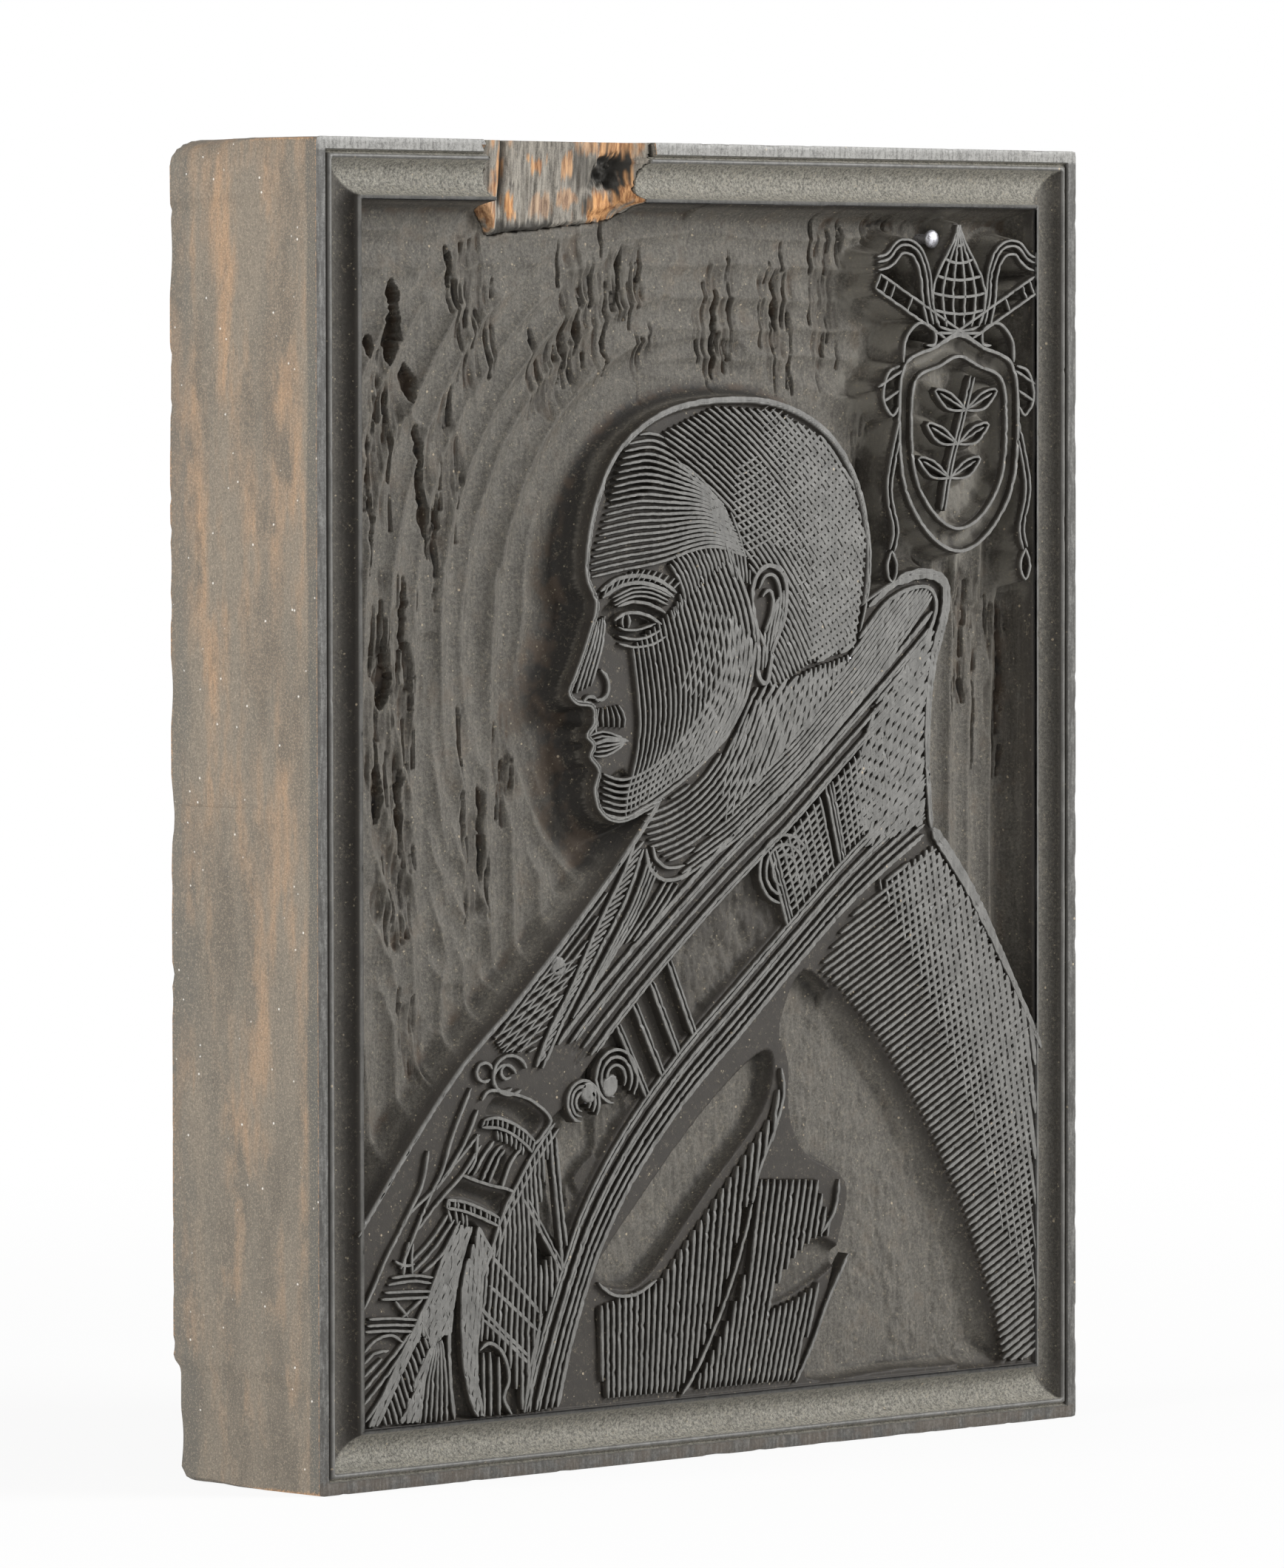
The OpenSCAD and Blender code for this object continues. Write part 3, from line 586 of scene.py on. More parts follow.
def crest_lines():
    """Every thin line of the badge, as (path, half width)."""
    lines = [
        (np.vstack([shield_ring, shield_ring[:1]]), 0.17),
        (np.vstack([shield_inner, shield_inner[:1]]), 0.15),
    ]
    for share in (-1, -0.62, -0.22, 0.22, 0.62, 1):
        lines.append((bud_curve(share), 0.13))
    collar = np.column_stack([np.linspace(-3.7, 3.7, 14), np.full(14, BUD_FOOT - 0.75 - SHIELD_MID[1])])
    lines.append((SHIELD_MID + collar, 0.15))
    for row, half in enumerate(BUD_ROWS):
        x = np.linspace(-1, 1, 14)
        z = BUD_FOOT + row * BUD_ROW_H - 0.5 * (1 - x**2)
        lines.append((np.column_stack([SHIELD_MID[0] + half * x, z]), 0.14))
    ribbon = smooth([[4.3, 12.8], [5.1, 15.6], [5.5, 18.6], [6.9, 21], [9.3, 21.5], [11.2, 20], [13, 19.6]])
    shoulder = smooth([[8.9, 8.6], [8.6, 11.2], [6.4, 13], [4, 12.2], [3.9, 10.6], [5.2, 10.5]])
    cord = smooth([[9, 3], [11.2, -5], [10.2, -10], [10.8, -12.4]])
    staff = np.array([[-13, 17.6], [12.6, 5]])
    for side in (1, -1):
        mirror = np.array([side, 1])
        for shift in (-0.75, 0.15, 0.75):
            lines.append((SHIELD_MID + offset(evenly(ribbon, 0.4), shift) * mirror, 0.12))
        lines.append((SHIELD_MID + shoulder * mirror, 0.15))
        for shift in (-0.35, 0.35):
            lines.append((SHIELD_MID + offset(evenly(cord, 0.4), shift) * mirror, 0.11))
        tassel = [[10.8, -12.4], [11.6, -14.2], [10.8, -16], [10.0, -14.2], [10.8, -12.4]]
        lines.append((SHIELD_MID + smooth(tassel) * mirror, 0.12))
        for shift in (-0.9, 0.9):
            rail = SHIELD_MID + offset(evenly(staff, 0.4), shift) * mirror
            lines.append((rail, 0.13))
        for run in (0.0, 0.045, 0.09, 0.2):
            post = staff[0] + (staff[1] - staff[0]) * run
            across = np.array([12.6, 25.6]) / np.hypot(12.6, 25.6) * 0.9
            lines.append((SHIELD_MID + evenly([post - across, post + across], 0.4) * mirror, 0.1))
        scroll = [[9.4, 8.2], [11.4, 7.4], [12.2, 4.6], [10.8, 2.6], [9.8, 3.6]]
        lines.append((SHIELD_MID + smooth(scroll) * mirror, 0.13))
    cut = []
    for number, (path, half) in enumerate(lines):
        path = evenly(path, 0.35)
        limit = (np.abs(path[:, 0]) < FIELD_W / 2 - 0.1) & (path[:, 1] < FIELD_H - 0.4)
        if number > 1:
            limit &= ~contains(shield_ring, path)
        cut += [(run, half) for run in runs_of(path, limit)]
    return cut


def runs_of(path, keep, least=3):
    """The unbroken stretches of a path whose points are kept."""
    runs, current = [], []
    for point, kept in zip(path, keep):
        if kept:
            current.append(point)
        elif current:
            runs.append(current)
            current = []
    runs.append(current)
    return [np.array(run) for run in runs if len(run) >= least]


def sprig_lines():
    """The stem and leaves on the shield, drawn as outlines with a vein."""
    stem = smooth([[-2.6, -8], [-1.4, -3], [0.4, 2], [2.2, 7]])
    lines = [(SHIELD_MID + offset(stem, shift), 0.12) for shift in (-0.28, 0.28)]
    leaf = np.array([[0, 0], [2.5, 1.9], [5, 2.3], [3, 0.2], [0, 0]], float)
    for z in (-4.4, -0.6, 3.2):
        for side in (1, -1):
            root = SHIELD_MID + np.array([z * 0.35, z])
            lines.append((root + smooth(leaf) * np.array([side, 1]), 0.12))
            vein = root + np.array([[0.4, 0.2], [2.4, 1.1], [4.2, 1.9]]) * np.array([side, 1])
            lines.append((evenly(vein, 0.4), 0.1))
    return [(evenly(path, 0.35), half) for path, half in lines]


crest = crest_lines() + sprig_lines()
print("lines of the badge:", len(crest))

# %% [markdown]
# The carved face is one height field: for each point of the picture it says how deep the
# knife and gouge went. It is worked out on a grid of fine columns and rows, which stand closer
# along the border, exactly at the edges of its lines, so that these stay crisp and the mitres
# are true. Distances to the drawn outlines give the walls their slopes.

# %% The grid and its measures
RIM_W, VEE_W, VEE_D, LINE_W, HOLLOW_W, HOLLOW_D = 1.3, 0.6, 0.5, 0.3, 4.0, 1.7
CELL = 0.2
SEAM = RIM_W + VEE_W / 2


def stations(length):
    """Distances from one edge of the block to the other: border profile, field, border profile."""
    line = RIM_W + VEE_W
    hollow = line + LINE_W + HOLLOW_W * np.linspace(0, 1, 17)
    edge = np.r_[SEAM, line, hollow, BORDER_W - 0.001]
    inner = np.linspace(BORDER_W, length - BORDER_W, int(round((length - 2 * BORDER_W) / CELL)) + 1)
    return np.r_[edge, inner, length - edge[::-1]]


xs = stations(2 * HALF_W) - HALF_W
zs = stations(TOP_Z) - BORDER_W
SHAPE = (len(zs), len(xs))
from_border = np.minimum(
    (HALF_W - np.abs(xs))[None, :], np.minimum(zs + BORDER_W, TOP_Z - BORDER_W - zs)[:, None]
)


def reach_of(path, reach):
    """The distance of each grid point to a path, no greater than the reach."""
    best = np.full(SHAPE, float(reach))
    for (ax, az), (bx, bz) in zip(path[:-1], path[1:]):
        i, k = np.searchsorted(xs, [min(ax, bx) - reach, max(ax, bx) + reach])
        j, m = np.searchsorted(zs, [min(az, bz) - reach, max(az, bz) + reach])
        if i == k or j == m:
            continue
        x, z, dx, dz = xs[None, i:k] - ax, zs[j:m, None] - az, bx - ax, bz - az
        t = np.clip((x * dx + z * dz) / max(dx * dx + dz * dz, 1e-12), 0, 1)
        best[j:m, i:k] = np.minimum(best[j:m, i:k], np.hypot(x - t * dx, z - t * dz))
    return best


def signed(ring, reach=4.0):
    """The same for a closed outline, negative inside it."""
    ring = np.array(ring, float)
    odd = np.zeros(SHAPE, bool)
    for (ax, az), (bx, bz) in zip(ring, np.roll(ring, -1, axis=0)):
        rows = (az > zs) != (bz > zs)
        if rows.any():
            crossing = ax + (zs[rows] - az) * (bx - ax) / (bz - az)
            odd[rows] ^= xs[None, :] < crossing[:, None]
    gap = reach_of(np.vstack([ring, ring[:1]]), reach)
    return np.where(odd, -gap, gap)


def eased(value):
    value = np.clip(value, 0, 1)
    return value * value * (3 - 2 * value)


def rough(cell_x, cell_z, seed):
    """Soft random relief between -1 and 1, with its own grain across and along the wood."""
    dice = np.random.default_rng(seed)
    across, along = (xs - xs[0]) / cell_x, (zs - zs[0]) / cell_z
    lattice = dice.uniform(-1, 1, (int(along[-1]) + 2, int(across[-1]) + 2))
    i, j = across.astype(int), along.astype(int)
    u, v = eased(across - i), eased(along - j)[:, None]
    rows = lattice[:, i] * (1 - u) + lattice[:, np.minimum(i + 1, lattice.shape[1] - 1)] * u
    return rows[j] * (1 - v) + rows[np.minimum(j + 1, len(rows) - 1)] * v


print("grid:", SHAPE, "points:", SHAPE[0] * SHAPE[1])

# %% [markdown]
# Round the figure the wood was cleared with a small gouge. Each stroke leaves a shallow
# hollow with a crest on either side, so the strokes are laid down one by one: rows that bend
# round the head, long upright ones at the sides and short ones under the border. Taking the
# deepest cut at each point makes the crests between strokes by itself.

# %% The cleared ground
GROUND_D = 3.6
# Nothing is cut deeper than the pocket that the tiles are set into.
POCKET = 7.0
GOUGE_D = 1.2
STROKE_W = 4.0
STROKE_PITCH = 3.7
# A stroke's bite fades to nothing at its edges, and that of the short rows only by this share.
ROW_FADE = 0.62
HEAD_MIDDLE = (3, 84)
dice = np.random.default_rng(11)


def strokes():
    """The gouge's strokes, each a path and the share by which its bite fades at the edges."""
    found = []
    mid_x, mid_z = HEAD_MIDDLE
    for radius in np.arange(31, 64, STROKE_PITCH):
        angle = 78 + dice.uniform(0, 16)
        while angle < 194:
            turn = np.radians(angle + np.linspace(0, math.degrees(dice.uniform(26, 48) / radius), 10))
            wander = radius + dice.uniform(-0.35, 0.35) + np.linspace(0, dice.uniform(-0.8, 0.8), 10)
            around = [mid_x + np.cos(turn) * wander, mid_z + np.sin(turn) * wander * 1.02]
            found.append((np.column_stack(around), 1))
            angle += math.degrees(dice.uniform(20, 34) / radius)
    for x in np.r_[np.arange(-50.2, -22, STROKE_PITCH), np.arange(37, 52, 3.4)]:
        z = dice.uniform(4, 12) if x < 0 else dice.uniform(34, 42)
        while z < (66 if x < 0 else 92):
            length = dice.uniform(28, 46)
            t = np.linspace(0, 1, 9)
            sway = 0.7 * np.sin((z + length * t) / 13) + dice.uniform(-0.6, 0.6) * np.sin(math.pi * t)
            found.append((np.column_stack([x + dice.uniform(-0.3, 0.3) + sway, z + length * t]), 1))
            z += length * dice.uniform(0.7, 0.9)
    for z in np.arange(113, 131, 3.2):
        x = dice.uniform(-54, -48) if z > 120 else dice.uniform(-6, 0)
        while x < 50:
            length = dice.uniform(10, 20)
            t = np.linspace(0, 1, 6)
            slope = dice.uniform(-1.2, 0.6)
            path = np.column_stack([x + length * t, z + dice.uniform(-0.4, 0.4) + slope * t])
            found.append((path, ROW_FADE))
            x += length * dice.uniform(0.7, 0.9)
    return found


uncleared = GROUND_D - 0.5 + 0.16 * rough(14, 20, 1) + 0.07 * rough(4, 7, 2)
ground = uncleared.copy()
for path, share in strokes():
    half = STROKE_W / 2 * dice.uniform(0.95, 1.2)
    near = reach_of(path, half)
    bite = GOUGE_D * (1 - share * (near / half) ** 2) * dice.uniform(0.75, 1.15)
    floor = uncleared + dice.uniform(-0.05, 0.1) + bite
    ground = np.where(near < half, np.maximum(ground, floor), ground)
# The ground is cut lower round the head, and smooth in front of the face.
CROWN_Z, CHEST_Z, NAPE_X = 108, 44, 2
head_gap = signed(head_ring, 9)
before_head = xs[None, :] < NAPE_X
by_face = eased((CROWN_Z - zs[:, None]) / 26) * before_head * (zs[:, None] > CHEST_Z)
front_hollow = eased(1 - np.abs(head_gap - 3.2) / 5.5) * by_face
ground = np.maximum(ground, uncleared + 0.95 * eased(1.7 - head_gap / 5)) + 0.3 * front_hollow
smooth_front = eased(1 - np.abs(head_gap - 3.5) / 5.2) * before_head
print("ground depth, mm:", round(float(ground.min()), 2), "to", round(float(ground.max()), 2))

# %% [markdown]
# In places the gouge ran against the grain and tore the wood out in upright fibres, and some
# old cracks and holes run much deeper. The torn patches come from noise that is stretched along
# the grain and cut off sharply, and small slits are torn along the grain within them. The
# cracks are listed one by one, as spindles with ragged sides. The camera looks from the left, so
# GROUND_SHIFT moves what is seen against the face to its true place on the deeper ground.

# %% Torn grain, cracks and holes
# Each row is the middle across, the top, the foot, the width and the lean of one crack.
CRACKS = [
    (-47.6, 122.6, 113.2, 2.6, 0.2), (-45.4, 113.6, 109.2, 1.5, -0.6), (-43.2, 107.2, 92.4, 1.5, -2.0),
    (-38.9, 125.6, 121.6, 1.3, 0.2), (-22.0, 118.6, 111.0, 0.7, 0.9), (-15.8, 122.8, 112.0, 0.45, 0.9),
    (-19.8, 121, 114.2, 0.6, 0.2), (-51.3, 116.6, 114.0, 0.8, 0), (-48.8, 83.2, 76.4, 1.7, 0.3),
    (-45.8, 91, 82.2, 0.7, 0.3), (1.2, 121.6, 111.4, 0.9, 0.5), (-13.4, 127, 119.4, 0.6, 0.4),
    (-49.6, 74, 64.2, 0.9, -0.3), (-46.4, 70.2, 60.4, 0.8, 0.2), (-37.6, 77, 66.5, 0.5, -0.3),
    (-41.2, 97.6, 86.4, 0.4, 0.4), (10.6, 124, 115, 0.7, -0.5), (42.2, 78, 66, 0.5, 0.3),
    (46.6, 88, 74, 0.6, -0.3), (-33.6, 62, 52.6, 0.4, 0.2), (-50.6, 100, 90.6, 0.5, 0.2),
]
# Each row is the middle across and up, and the half sizes of one torn patch.
TORN = [
    (-36, 119, 4.2, 8), (-49, 106, 2.8, 10), (-39.8, 103, 2.6, 9), (-47.5, 78, 4.4, 13), (-20, 118, 3.4, 8),
    (1.5, 118, 3.6, 8), (11, 119, 3.2, 8), (-13.6, 122.6, 4, 5), (18.6, 121, 3, 10), (-47, 60, 3.6, 9),
    (-9.5, 113.4, 3, 3.2), (-25, 112, 2.6, 5), (41, 84, 3.2, 9), (46.5, 76, 2.6, 13), (-35.6, 60, 2.2, 7),
    (-31, 70, 2, 6), (24.5, 101, 2.6, 8), (27.5, 126, 5, 4), (-45, 41, 2.4, 5),
]
GROUND_SHIFT = GROUND_D * math.tan(YAW)
fibre = rough(0.42, 5.5, 21) * 0.6 + rough(0.28, 2.2, 22) * 0.4
patchy = rough(1.5, 6, 23) * 0.6 + rough(0.7, 3, 24) * 0.4
torn = np.zeros(SHAPE)
for x, z, half_x, half_z in TORN:
    spread = 1 - np.hypot((xs[None, :] - x - GROUND_SHIFT) / half_x, (zs[:, None] - z) / half_z)
    torn = np.maximum(torn, eased((spread * 1.1 + patchy * 0.62 - 0.1) / 0.24))
torn *= 1 - 0.8 * smooth_front
ground += torn * (0.24 + 0.30 * fibre)
for x, z, half_x, half_z in TORN:
    for _ in range(int(half_x * half_z * 0.55)):
        at_x = x + GROUND_SHIFT + half_x * dice.uniform(-0.85, 0.85)
        at_z = z + half_z * dice.uniform(-0.9, 0.9)
        tall, wide, lean = dice.uniform(2, 7), dice.uniform(0.1, 0.26), dice.uniform(-0.4, 0.4)
        rows = slice(*np.searchsorted(zs, [at_z - tall / 2, at_z + tall / 2]))
        columns = slice(*np.searchsorted(xs, [at_x - 1.2, at_x + 1.2]))
        t = ((zs[rows] - at_z) / tall + 0.5)[:, None]
        t = t if dice.uniform() < 0.6 else 1 - t
        half = wide * np.clip(1 - t, 0, 1) ** 0.6 * eased(t / 0.06)
        side = xs[columns][None, :] - at_x - lean * (t - 0.5)
        slit = eased((half - np.abs(side)) / 0.12 + 0.5) * (half > 0.03)
        ground[rows, columns] += slit * dice.uniform(0.3, 0.75) * (1 - 0.9 * smooth_front[rows, columns])
        torn[rows, columns] = np.maximum(torn[rows, columns], slit)
lit_slope = np.zeros(SHAPE)
for x, top, foot, width, lean in CRACKS:
    t = (zs[:, None] - foot) / (top - foot)
    ragged = 1 + 0.4 * rough(9, 2.3, int(top * 7)) + 0.35 * rough(0.9, 0.8, int(top * 3))
    half = width / 2 * np.clip(4 * t * (1 - t), 0, 1) ** 0.9 * ragged
    side = xs[None, :] - x - GROUND_SHIFT - lean * (t - 0.5) - 0.2 * rough(2, 0.9, int(top * 5))
    hole = eased((half - np.abs(side)) / 0.16 + 0.5) * ((t > 0) & (t < 1))
    steep = np.clip((side + half) / (1.5 * half + 0.01), 0, 1)
    ground += hole * (0.15 + 0.85 * steep) * (0.7 + 0.4 * width)
    # Painted shade: the steep wall of each crack, which faces away from the lamp, is marked here with the
    # torn grain, and the material paints it dark.
    torn = np.maximum(torn, hole * eased(steep * 1.6 - 0.35))
    # Painted light: the gentle slope of each crack, which faces the lamp, is marked as lit.
    lit_slope = np.maximum(lit_slope, hole * eased(1.25 - steep * 2.2))
ground += (0.012 * rough(0.5, 0.4, 31) + 0.018 * rough(0.9, 2.4, 32)) * (1 + 3 * torn)
ground = np.minimum(ground, POCKET)
print("torn share:", round(float((torn > 0.5).mean()), 3))

# %% [markdown]
# Inside the figure the wood stands at printing height and is cut away zone by zone. Shaded
# parts get a shallow floor, on which the thin printing lines are set later. White parts are
# scooped out deeply and left rough. The band has smooth coves between its lines.

# %% The figure's own floors
HATCH_D = 0.62
WHITE_D = 2.6


def wall_to(depth, gap, width, power=2.6):
    """A cut that falls from printing height to its floor over a width, steeply at first."""
    return depth * (1 - (1 - np.clip(gap / width, 0, 1)) ** power)


figure_gap = np.minimum(signed(head_ring), signed(dress_ring))
chest_near = reach_of(chest_line, 5)
wall_w = 1.9 + 2.4 * eased(1 - chest_near / 4.6)
figure = wall_to(ground, figure_gap + 0.12, wall_w)
torn *= eased((figure_gap - 0.7) / 1.2)
inner = np.zeros(SHAPE)


def sink(ring, depth, width=0.4, shrink=0.0, texture=0.0):
    """Cuts a zone of the figure down to a floor, inside a closed outline."""
    global inner
    gap = ring if isinstance(ring, np.ndarray) and ring.shape == SHAPE else signed(ring)
    inner = np.maximum(inner, wall_to(depth + texture, -gap - shrink, width))


grainy = 0.10 * rough(0.7, 1.6, 41) + 0.06 * rough(0.35, 0.7, 42) + 0.10 * rough(2.4, 7, 43)
sink(figure_gap, HATCH_D, 0.35, 0.42)
for white in (
    [[0.07, 0.86], [0.17, 0.905], [0.27, 0.86], [0.22, 0.78], [0.1, 0.76]],
    [[0.2, 0.4], [0.29, 0.43], [0.37, 0.38], [0.33, 0.3], [0.23, 0.31]],
    [[0.05, 0.1], [0.11, 0.13], [0.13, 0.08], [0.09, 0.045]],
    [[0.05, 0.51], [0.13, 0.545], [0.23, 0.53], [0.27, 0.48], [0.2, 0.435], [0.09, 0.44]],
):
    sink(smooth(on_head(white), 4, True), 1.25, 0.8, 0.0, grainy)
shoulder_edge = reach_of(lining_ring[:26], 6)
lining_wall = 1.1 + 4.4 * eased(1 - shoulder_edge / 5.5) * (xs[None, :] > 19)
lining_gap = signed(lining_ring, 6)
lining_swell = 0.35 * rough(3.2, 11, 44)
sink(lining_gap - 1.2 * (lining_wall > 2), WHITE_D + 0.35, lining_wall, 0, grainy * 1.5 + lining_swell)
sink(sleeve_ring, 0.95, 0.5)
sink(sleeve_white, WHITE_D, 1.3, 0, grainy)
sink(sleeve_gap, WHITE_D - 0.3, 0.9)
sink(sleeve_leaf, 1.7, 1.0, 0, grainy)
UPPER_LINES = [0.012, 0.075, 0.095, 0.165, 0.235, 0.255]
LOWER_LINES = [0.74, 0.765, 0.83, 0.85, 0.90, 0.945, 0.99]
for lines, last in ((UPPER_LINES, 6.7), (LOWER_LINES, 10.9)):
    for a, b in zip(lines[:-1], lines[1:]):
        cove = np.vstack([along_band(a, 0.3, last), along_band(b, 0.3, last)[::-1]])
        wide = b - a > 0.03
        sink(cove, 0.95 if wide else 0.45, 1.0 if wide else 0.3, 0.0)
PANELS = [(3.3, 4.82), (5.95, 6.75), (7.1, 7.9)]
LATTICE = [(1.3, 2.12), (2.34, 3.1)]
BARS = [1.16, 2.22, 3.2, 4.9, 5.19, 5.48, 5.77, 8.1]
SCROLLS = [((-14.6, 35.8), 3.4), ((-19.6, 33.4), 2.6), ((11.4, 57.4), 4.4)]
PANEL_T = (0.275, 0.725)
for first, last in PANELS:
    s = np.linspace(first, last, 12)
    upper, lower = (np.full(12, side) for side in PANEL_T)
    panel = np.vstack([across_band(s, upper), across_band(s[::-1], lower)])
    sink(panel, 1.7, 0.9, 0.1, grainy * 2.2 + 0.25 * rough(2, 3, 45))
trough = np.vstack([along_band(PANEL_T[0], 0.5, 10.8), along_band(PANEL_T[1], 0.5, 10.8)[::-1]])
sink(trough, 1.15, 0.6)
for ring in (
    [[-33.9, 32.7], [-32.4, 34.8], [-29.6, 34.5], [-26.9, 33.6], [-24.8, 31.9], [-26.8, 29.9],
     [-28.4, 31], [-30.8, 32.2]],
    [[-39.3, 24.2], [-37.6, 26.1], [-34, 25.1], [-30.5, 24], [-31.9, 21.9], [-34.2, 22.9], [-36.8, 23.8]],
):
    sink(smooth(ring, 4, True), 1.9, 1.9)
for ring in (
    [[-35, 28.2], [-33.6, 29.6], [-32.8, 29.4], [-34.8, 26.2], [-36.2, 26.9]],
    [[-32, 29.2], [-30.2, 28.4], [-31.8, 25.2], [-33, 26]],
):
    sink(np.array(ring), 1.5, 0.8)
channel = smooth([[-36, 20.4], [-37.6, 15], [-38.5, 9], [-37.9, 4], [-36.9, 0.6]])
channel_w = 0.75 + 0.75 * eased((20 - zs[:, None]) / 12)
inner = np.maximum(inner, 2.0 * eased(1 - (reach_of(channel, 2.6) / (channel_w + 0.6)) ** 2))
FOLD_HOLLOW = [[-26.4, 16], [-26, 22], [-24.8, 27.6], [-23.2, 24.6], [-22.8, 18]]
for ring, deep in (
    ([[-43.6, 0.6], [-43, 6], [-41.8, 8], [-40.4, 8], [-39.9, 0.6]], 1.5),
    ([[-34.8, 0.6], [-34.7, 6.6], [-33.4, 7.8], [-31.8, 6.8], [-31.1, 4], [-31.7, 2.1], [-31, 0.6]], 1.2),
    (FOLD_HOLLOW, 2.2),
    ([[-24.4, 30.6], [-20.4, 33.4], [-17.4, 33], [-16, 28.6], [-19.6, 25.4], [-22.6, 20]], 2.3),
):
    sink(smooth(ring, 4, True), deep, 0.9, 0, grainy)
print("inner floors, mm:", round(float(inner.max()), 2))

# %% [markdown]
# The badge stands in the cleared ground on low walls, so that its thin lines don't float.

# %% The floor of the badge
CREST_FLOOR = 0.7
shield_gap = signed(shield_ring)
crest_gap = shield_gap.copy()
for path, half in crest:
    crest_gap = np.minimum(crest_gap, reach_of(path, 4.5) - half - 0.16)
badge = CREST_FLOOR + wall_to(ground - CREST_FLOOR, crest_gap, 0.95, 1.9)
inside_shield = signed(shield_inner)
badge = np.maximum(badge, wall_to(WHITE_D - 0.2 + grainy * 1.6, -inside_shield - 0.2, 1.1))
cove_gap = np.minimum(-shield_gap, inside_shield)
badge = np.maximum(badge, np.where(cove_gap > 0, wall_to(1.5, cove_gap - 0.1, 0.9), 0))
for path, half in sprig_lines():
    near = reach_of(path, 1.2) - half
    badge = np.where(near < 1.0, np.minimum(badge, 0.8 + 1.7 * np.maximum(near, 0)), badge)
print("badge reaches, mm:", round(float(badge[crest_gap < 0].max()), 2))

# %% [markdown]
# Border, ground, figure and badge are joined into one depth for each point. The border is a
# fine V cut, a printing line, a round hollow and a second line. Its section is a function of
# the distance to the nearest edge of the block, which gives true mitres at the corners.

# %% One depth for the whole face
CHIP_W, CHIP_H, CHIP_D, CHIP_FOOT_D = 24, 10, 2.6, 4.0
CHIP_MID = -0.193 * 2 * HALF_W
CHIP_LINE = np.array([
    [0.03, -0.6], [0.04, 0.1], [0.08, 0.31], [0.1, 0.62], [0.16, 0.86], [0.19, 0.98], [0.23, 1.03],
    [0.31, 0.98], [0.48, 0.96], [0.67, 0.91], [0.85, 0.88], [0.98, 0.82], [1.05, 0.73],
    [1.01, 0.55], [1.04, 0.33],
    [1.08, 0.11], [1.08, -0.6],
])
chip_top = TOP_Z - BORDER_W
chip_x = CHIP_MID + (CHIP_LINE[:, 0] - 0.5) * CHIP_W
chip_ring = np.column_stack([chip_x, chip_top - CHIP_LINE[:, 1] * CHIP_H])


def border_depth(b):
    radius = (HOLLOW_W**2 / 4 + HOLLOW_D**2) / (2 * HOLLOW_D)
    middle = RIM_W + VEE_W + LINE_W + HOLLOW_W / 2
    hollow = np.sqrt(np.clip(radius**2 - (b - middle) ** 2, 0, None)) - radius + HOLLOW_D
    vee = VEE_D * (1 - np.abs(b - SEAM) / (VEE_W / 2))
    return np.maximum(np.maximum(vee, hollow), 0)


def pin_place(name):
    low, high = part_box(name)
    middle = (low + high) / 2 / MM
    return np.array([middle.x, middle.z - BORDER_W])


depth = np.maximum(figure, np.where(figure_gap < 0.2, inner, 0))
depth = np.minimum(depth, badge)
# Round each of these pins a small mound of wood is left standing.
for name in ("shoulder_pin", "band_pin_left", "band_pin_right"):
    x, z = pin_place(name)
    around = np.hypot(xs[None, :] - x, zs[:, None] - z)
    depth = np.minimum(depth, wall_to(6, around - 1.15 - 0.2 * rough(1, 1, 51), 2.2))
border_wall = np.where(xs > 0, 2.5, 1.5)[None, :]
depth = np.minimum(depth, wall_to(ground, from_border - BORDER_W, border_wall))
in_border = from_border < BORDER_W
nicks = 0.5 * np.clip(rough(1.2, 1.2, 61) - 0.72, 0, 1) + 0.02 * rough(1.5, 5, 62) + 0.02
depth = np.where(in_border, border_depth(from_border) + np.abs(nicks) * (from_border > SEAM + 0.2), depth)
# The tool chattered where it crossed the grain, in the border's parts at the top and the foot.
from_end = np.minimum(zs + BORDER_W, TOP_Z - BORDER_W - zs)[:, None]
level = in_border & (from_end < (HALF_W - np.abs(xs))[None, :])
chatter = np.clip(rough(0.42, 0.9, 64) * 0.7 + rough(5, 30, 65) * 0.5 - 0.22, 0, 1)
chatter *= np.exp(-(((from_end - 3.1) / 0.45) ** 2)) + 0.6 * np.exp(-(((from_end - 4.9) / 0.4) ** 2))
depth += np.where(level, 0.34 * chatter + 0.05 * np.abs(rough(0.5, 0.5, 66)) * (from_end > SEAM + 0.5), 0)
depth += np.where(depth > 0.4, 0.01 * rough(0.4, 0.6, 33), 0)
uncut = depth.copy()
in_chip = contains(chip_ring, np.stack(np.meshgrid(xs, zs), -1).reshape(-1, 2)).reshape(SHAPE)
down = (chip_top - zs[:, None]) / CHIP_H
chip_floor = CHIP_D + (CHIP_FOOT_D - CHIP_D) * down
CHIP_UNDER = 1.7
depth = np.where(in_chip, np.maximum(depth, chip_floor + CHIP_UNDER), depth)
torn = np.where(in_border, 0, torn)


def spread_out(values, rounds):
    """The values averaged with their neighbours, again and again."""
    for _ in range(rounds):
        padded = np.pad(values, 1, mode="edge")
        values = (values + padded[:-2, 1:-1] + padded[2:, 1:-1] + padded[1:-1, :-2] + padded[1:-1, 2:]) / 5
    return values
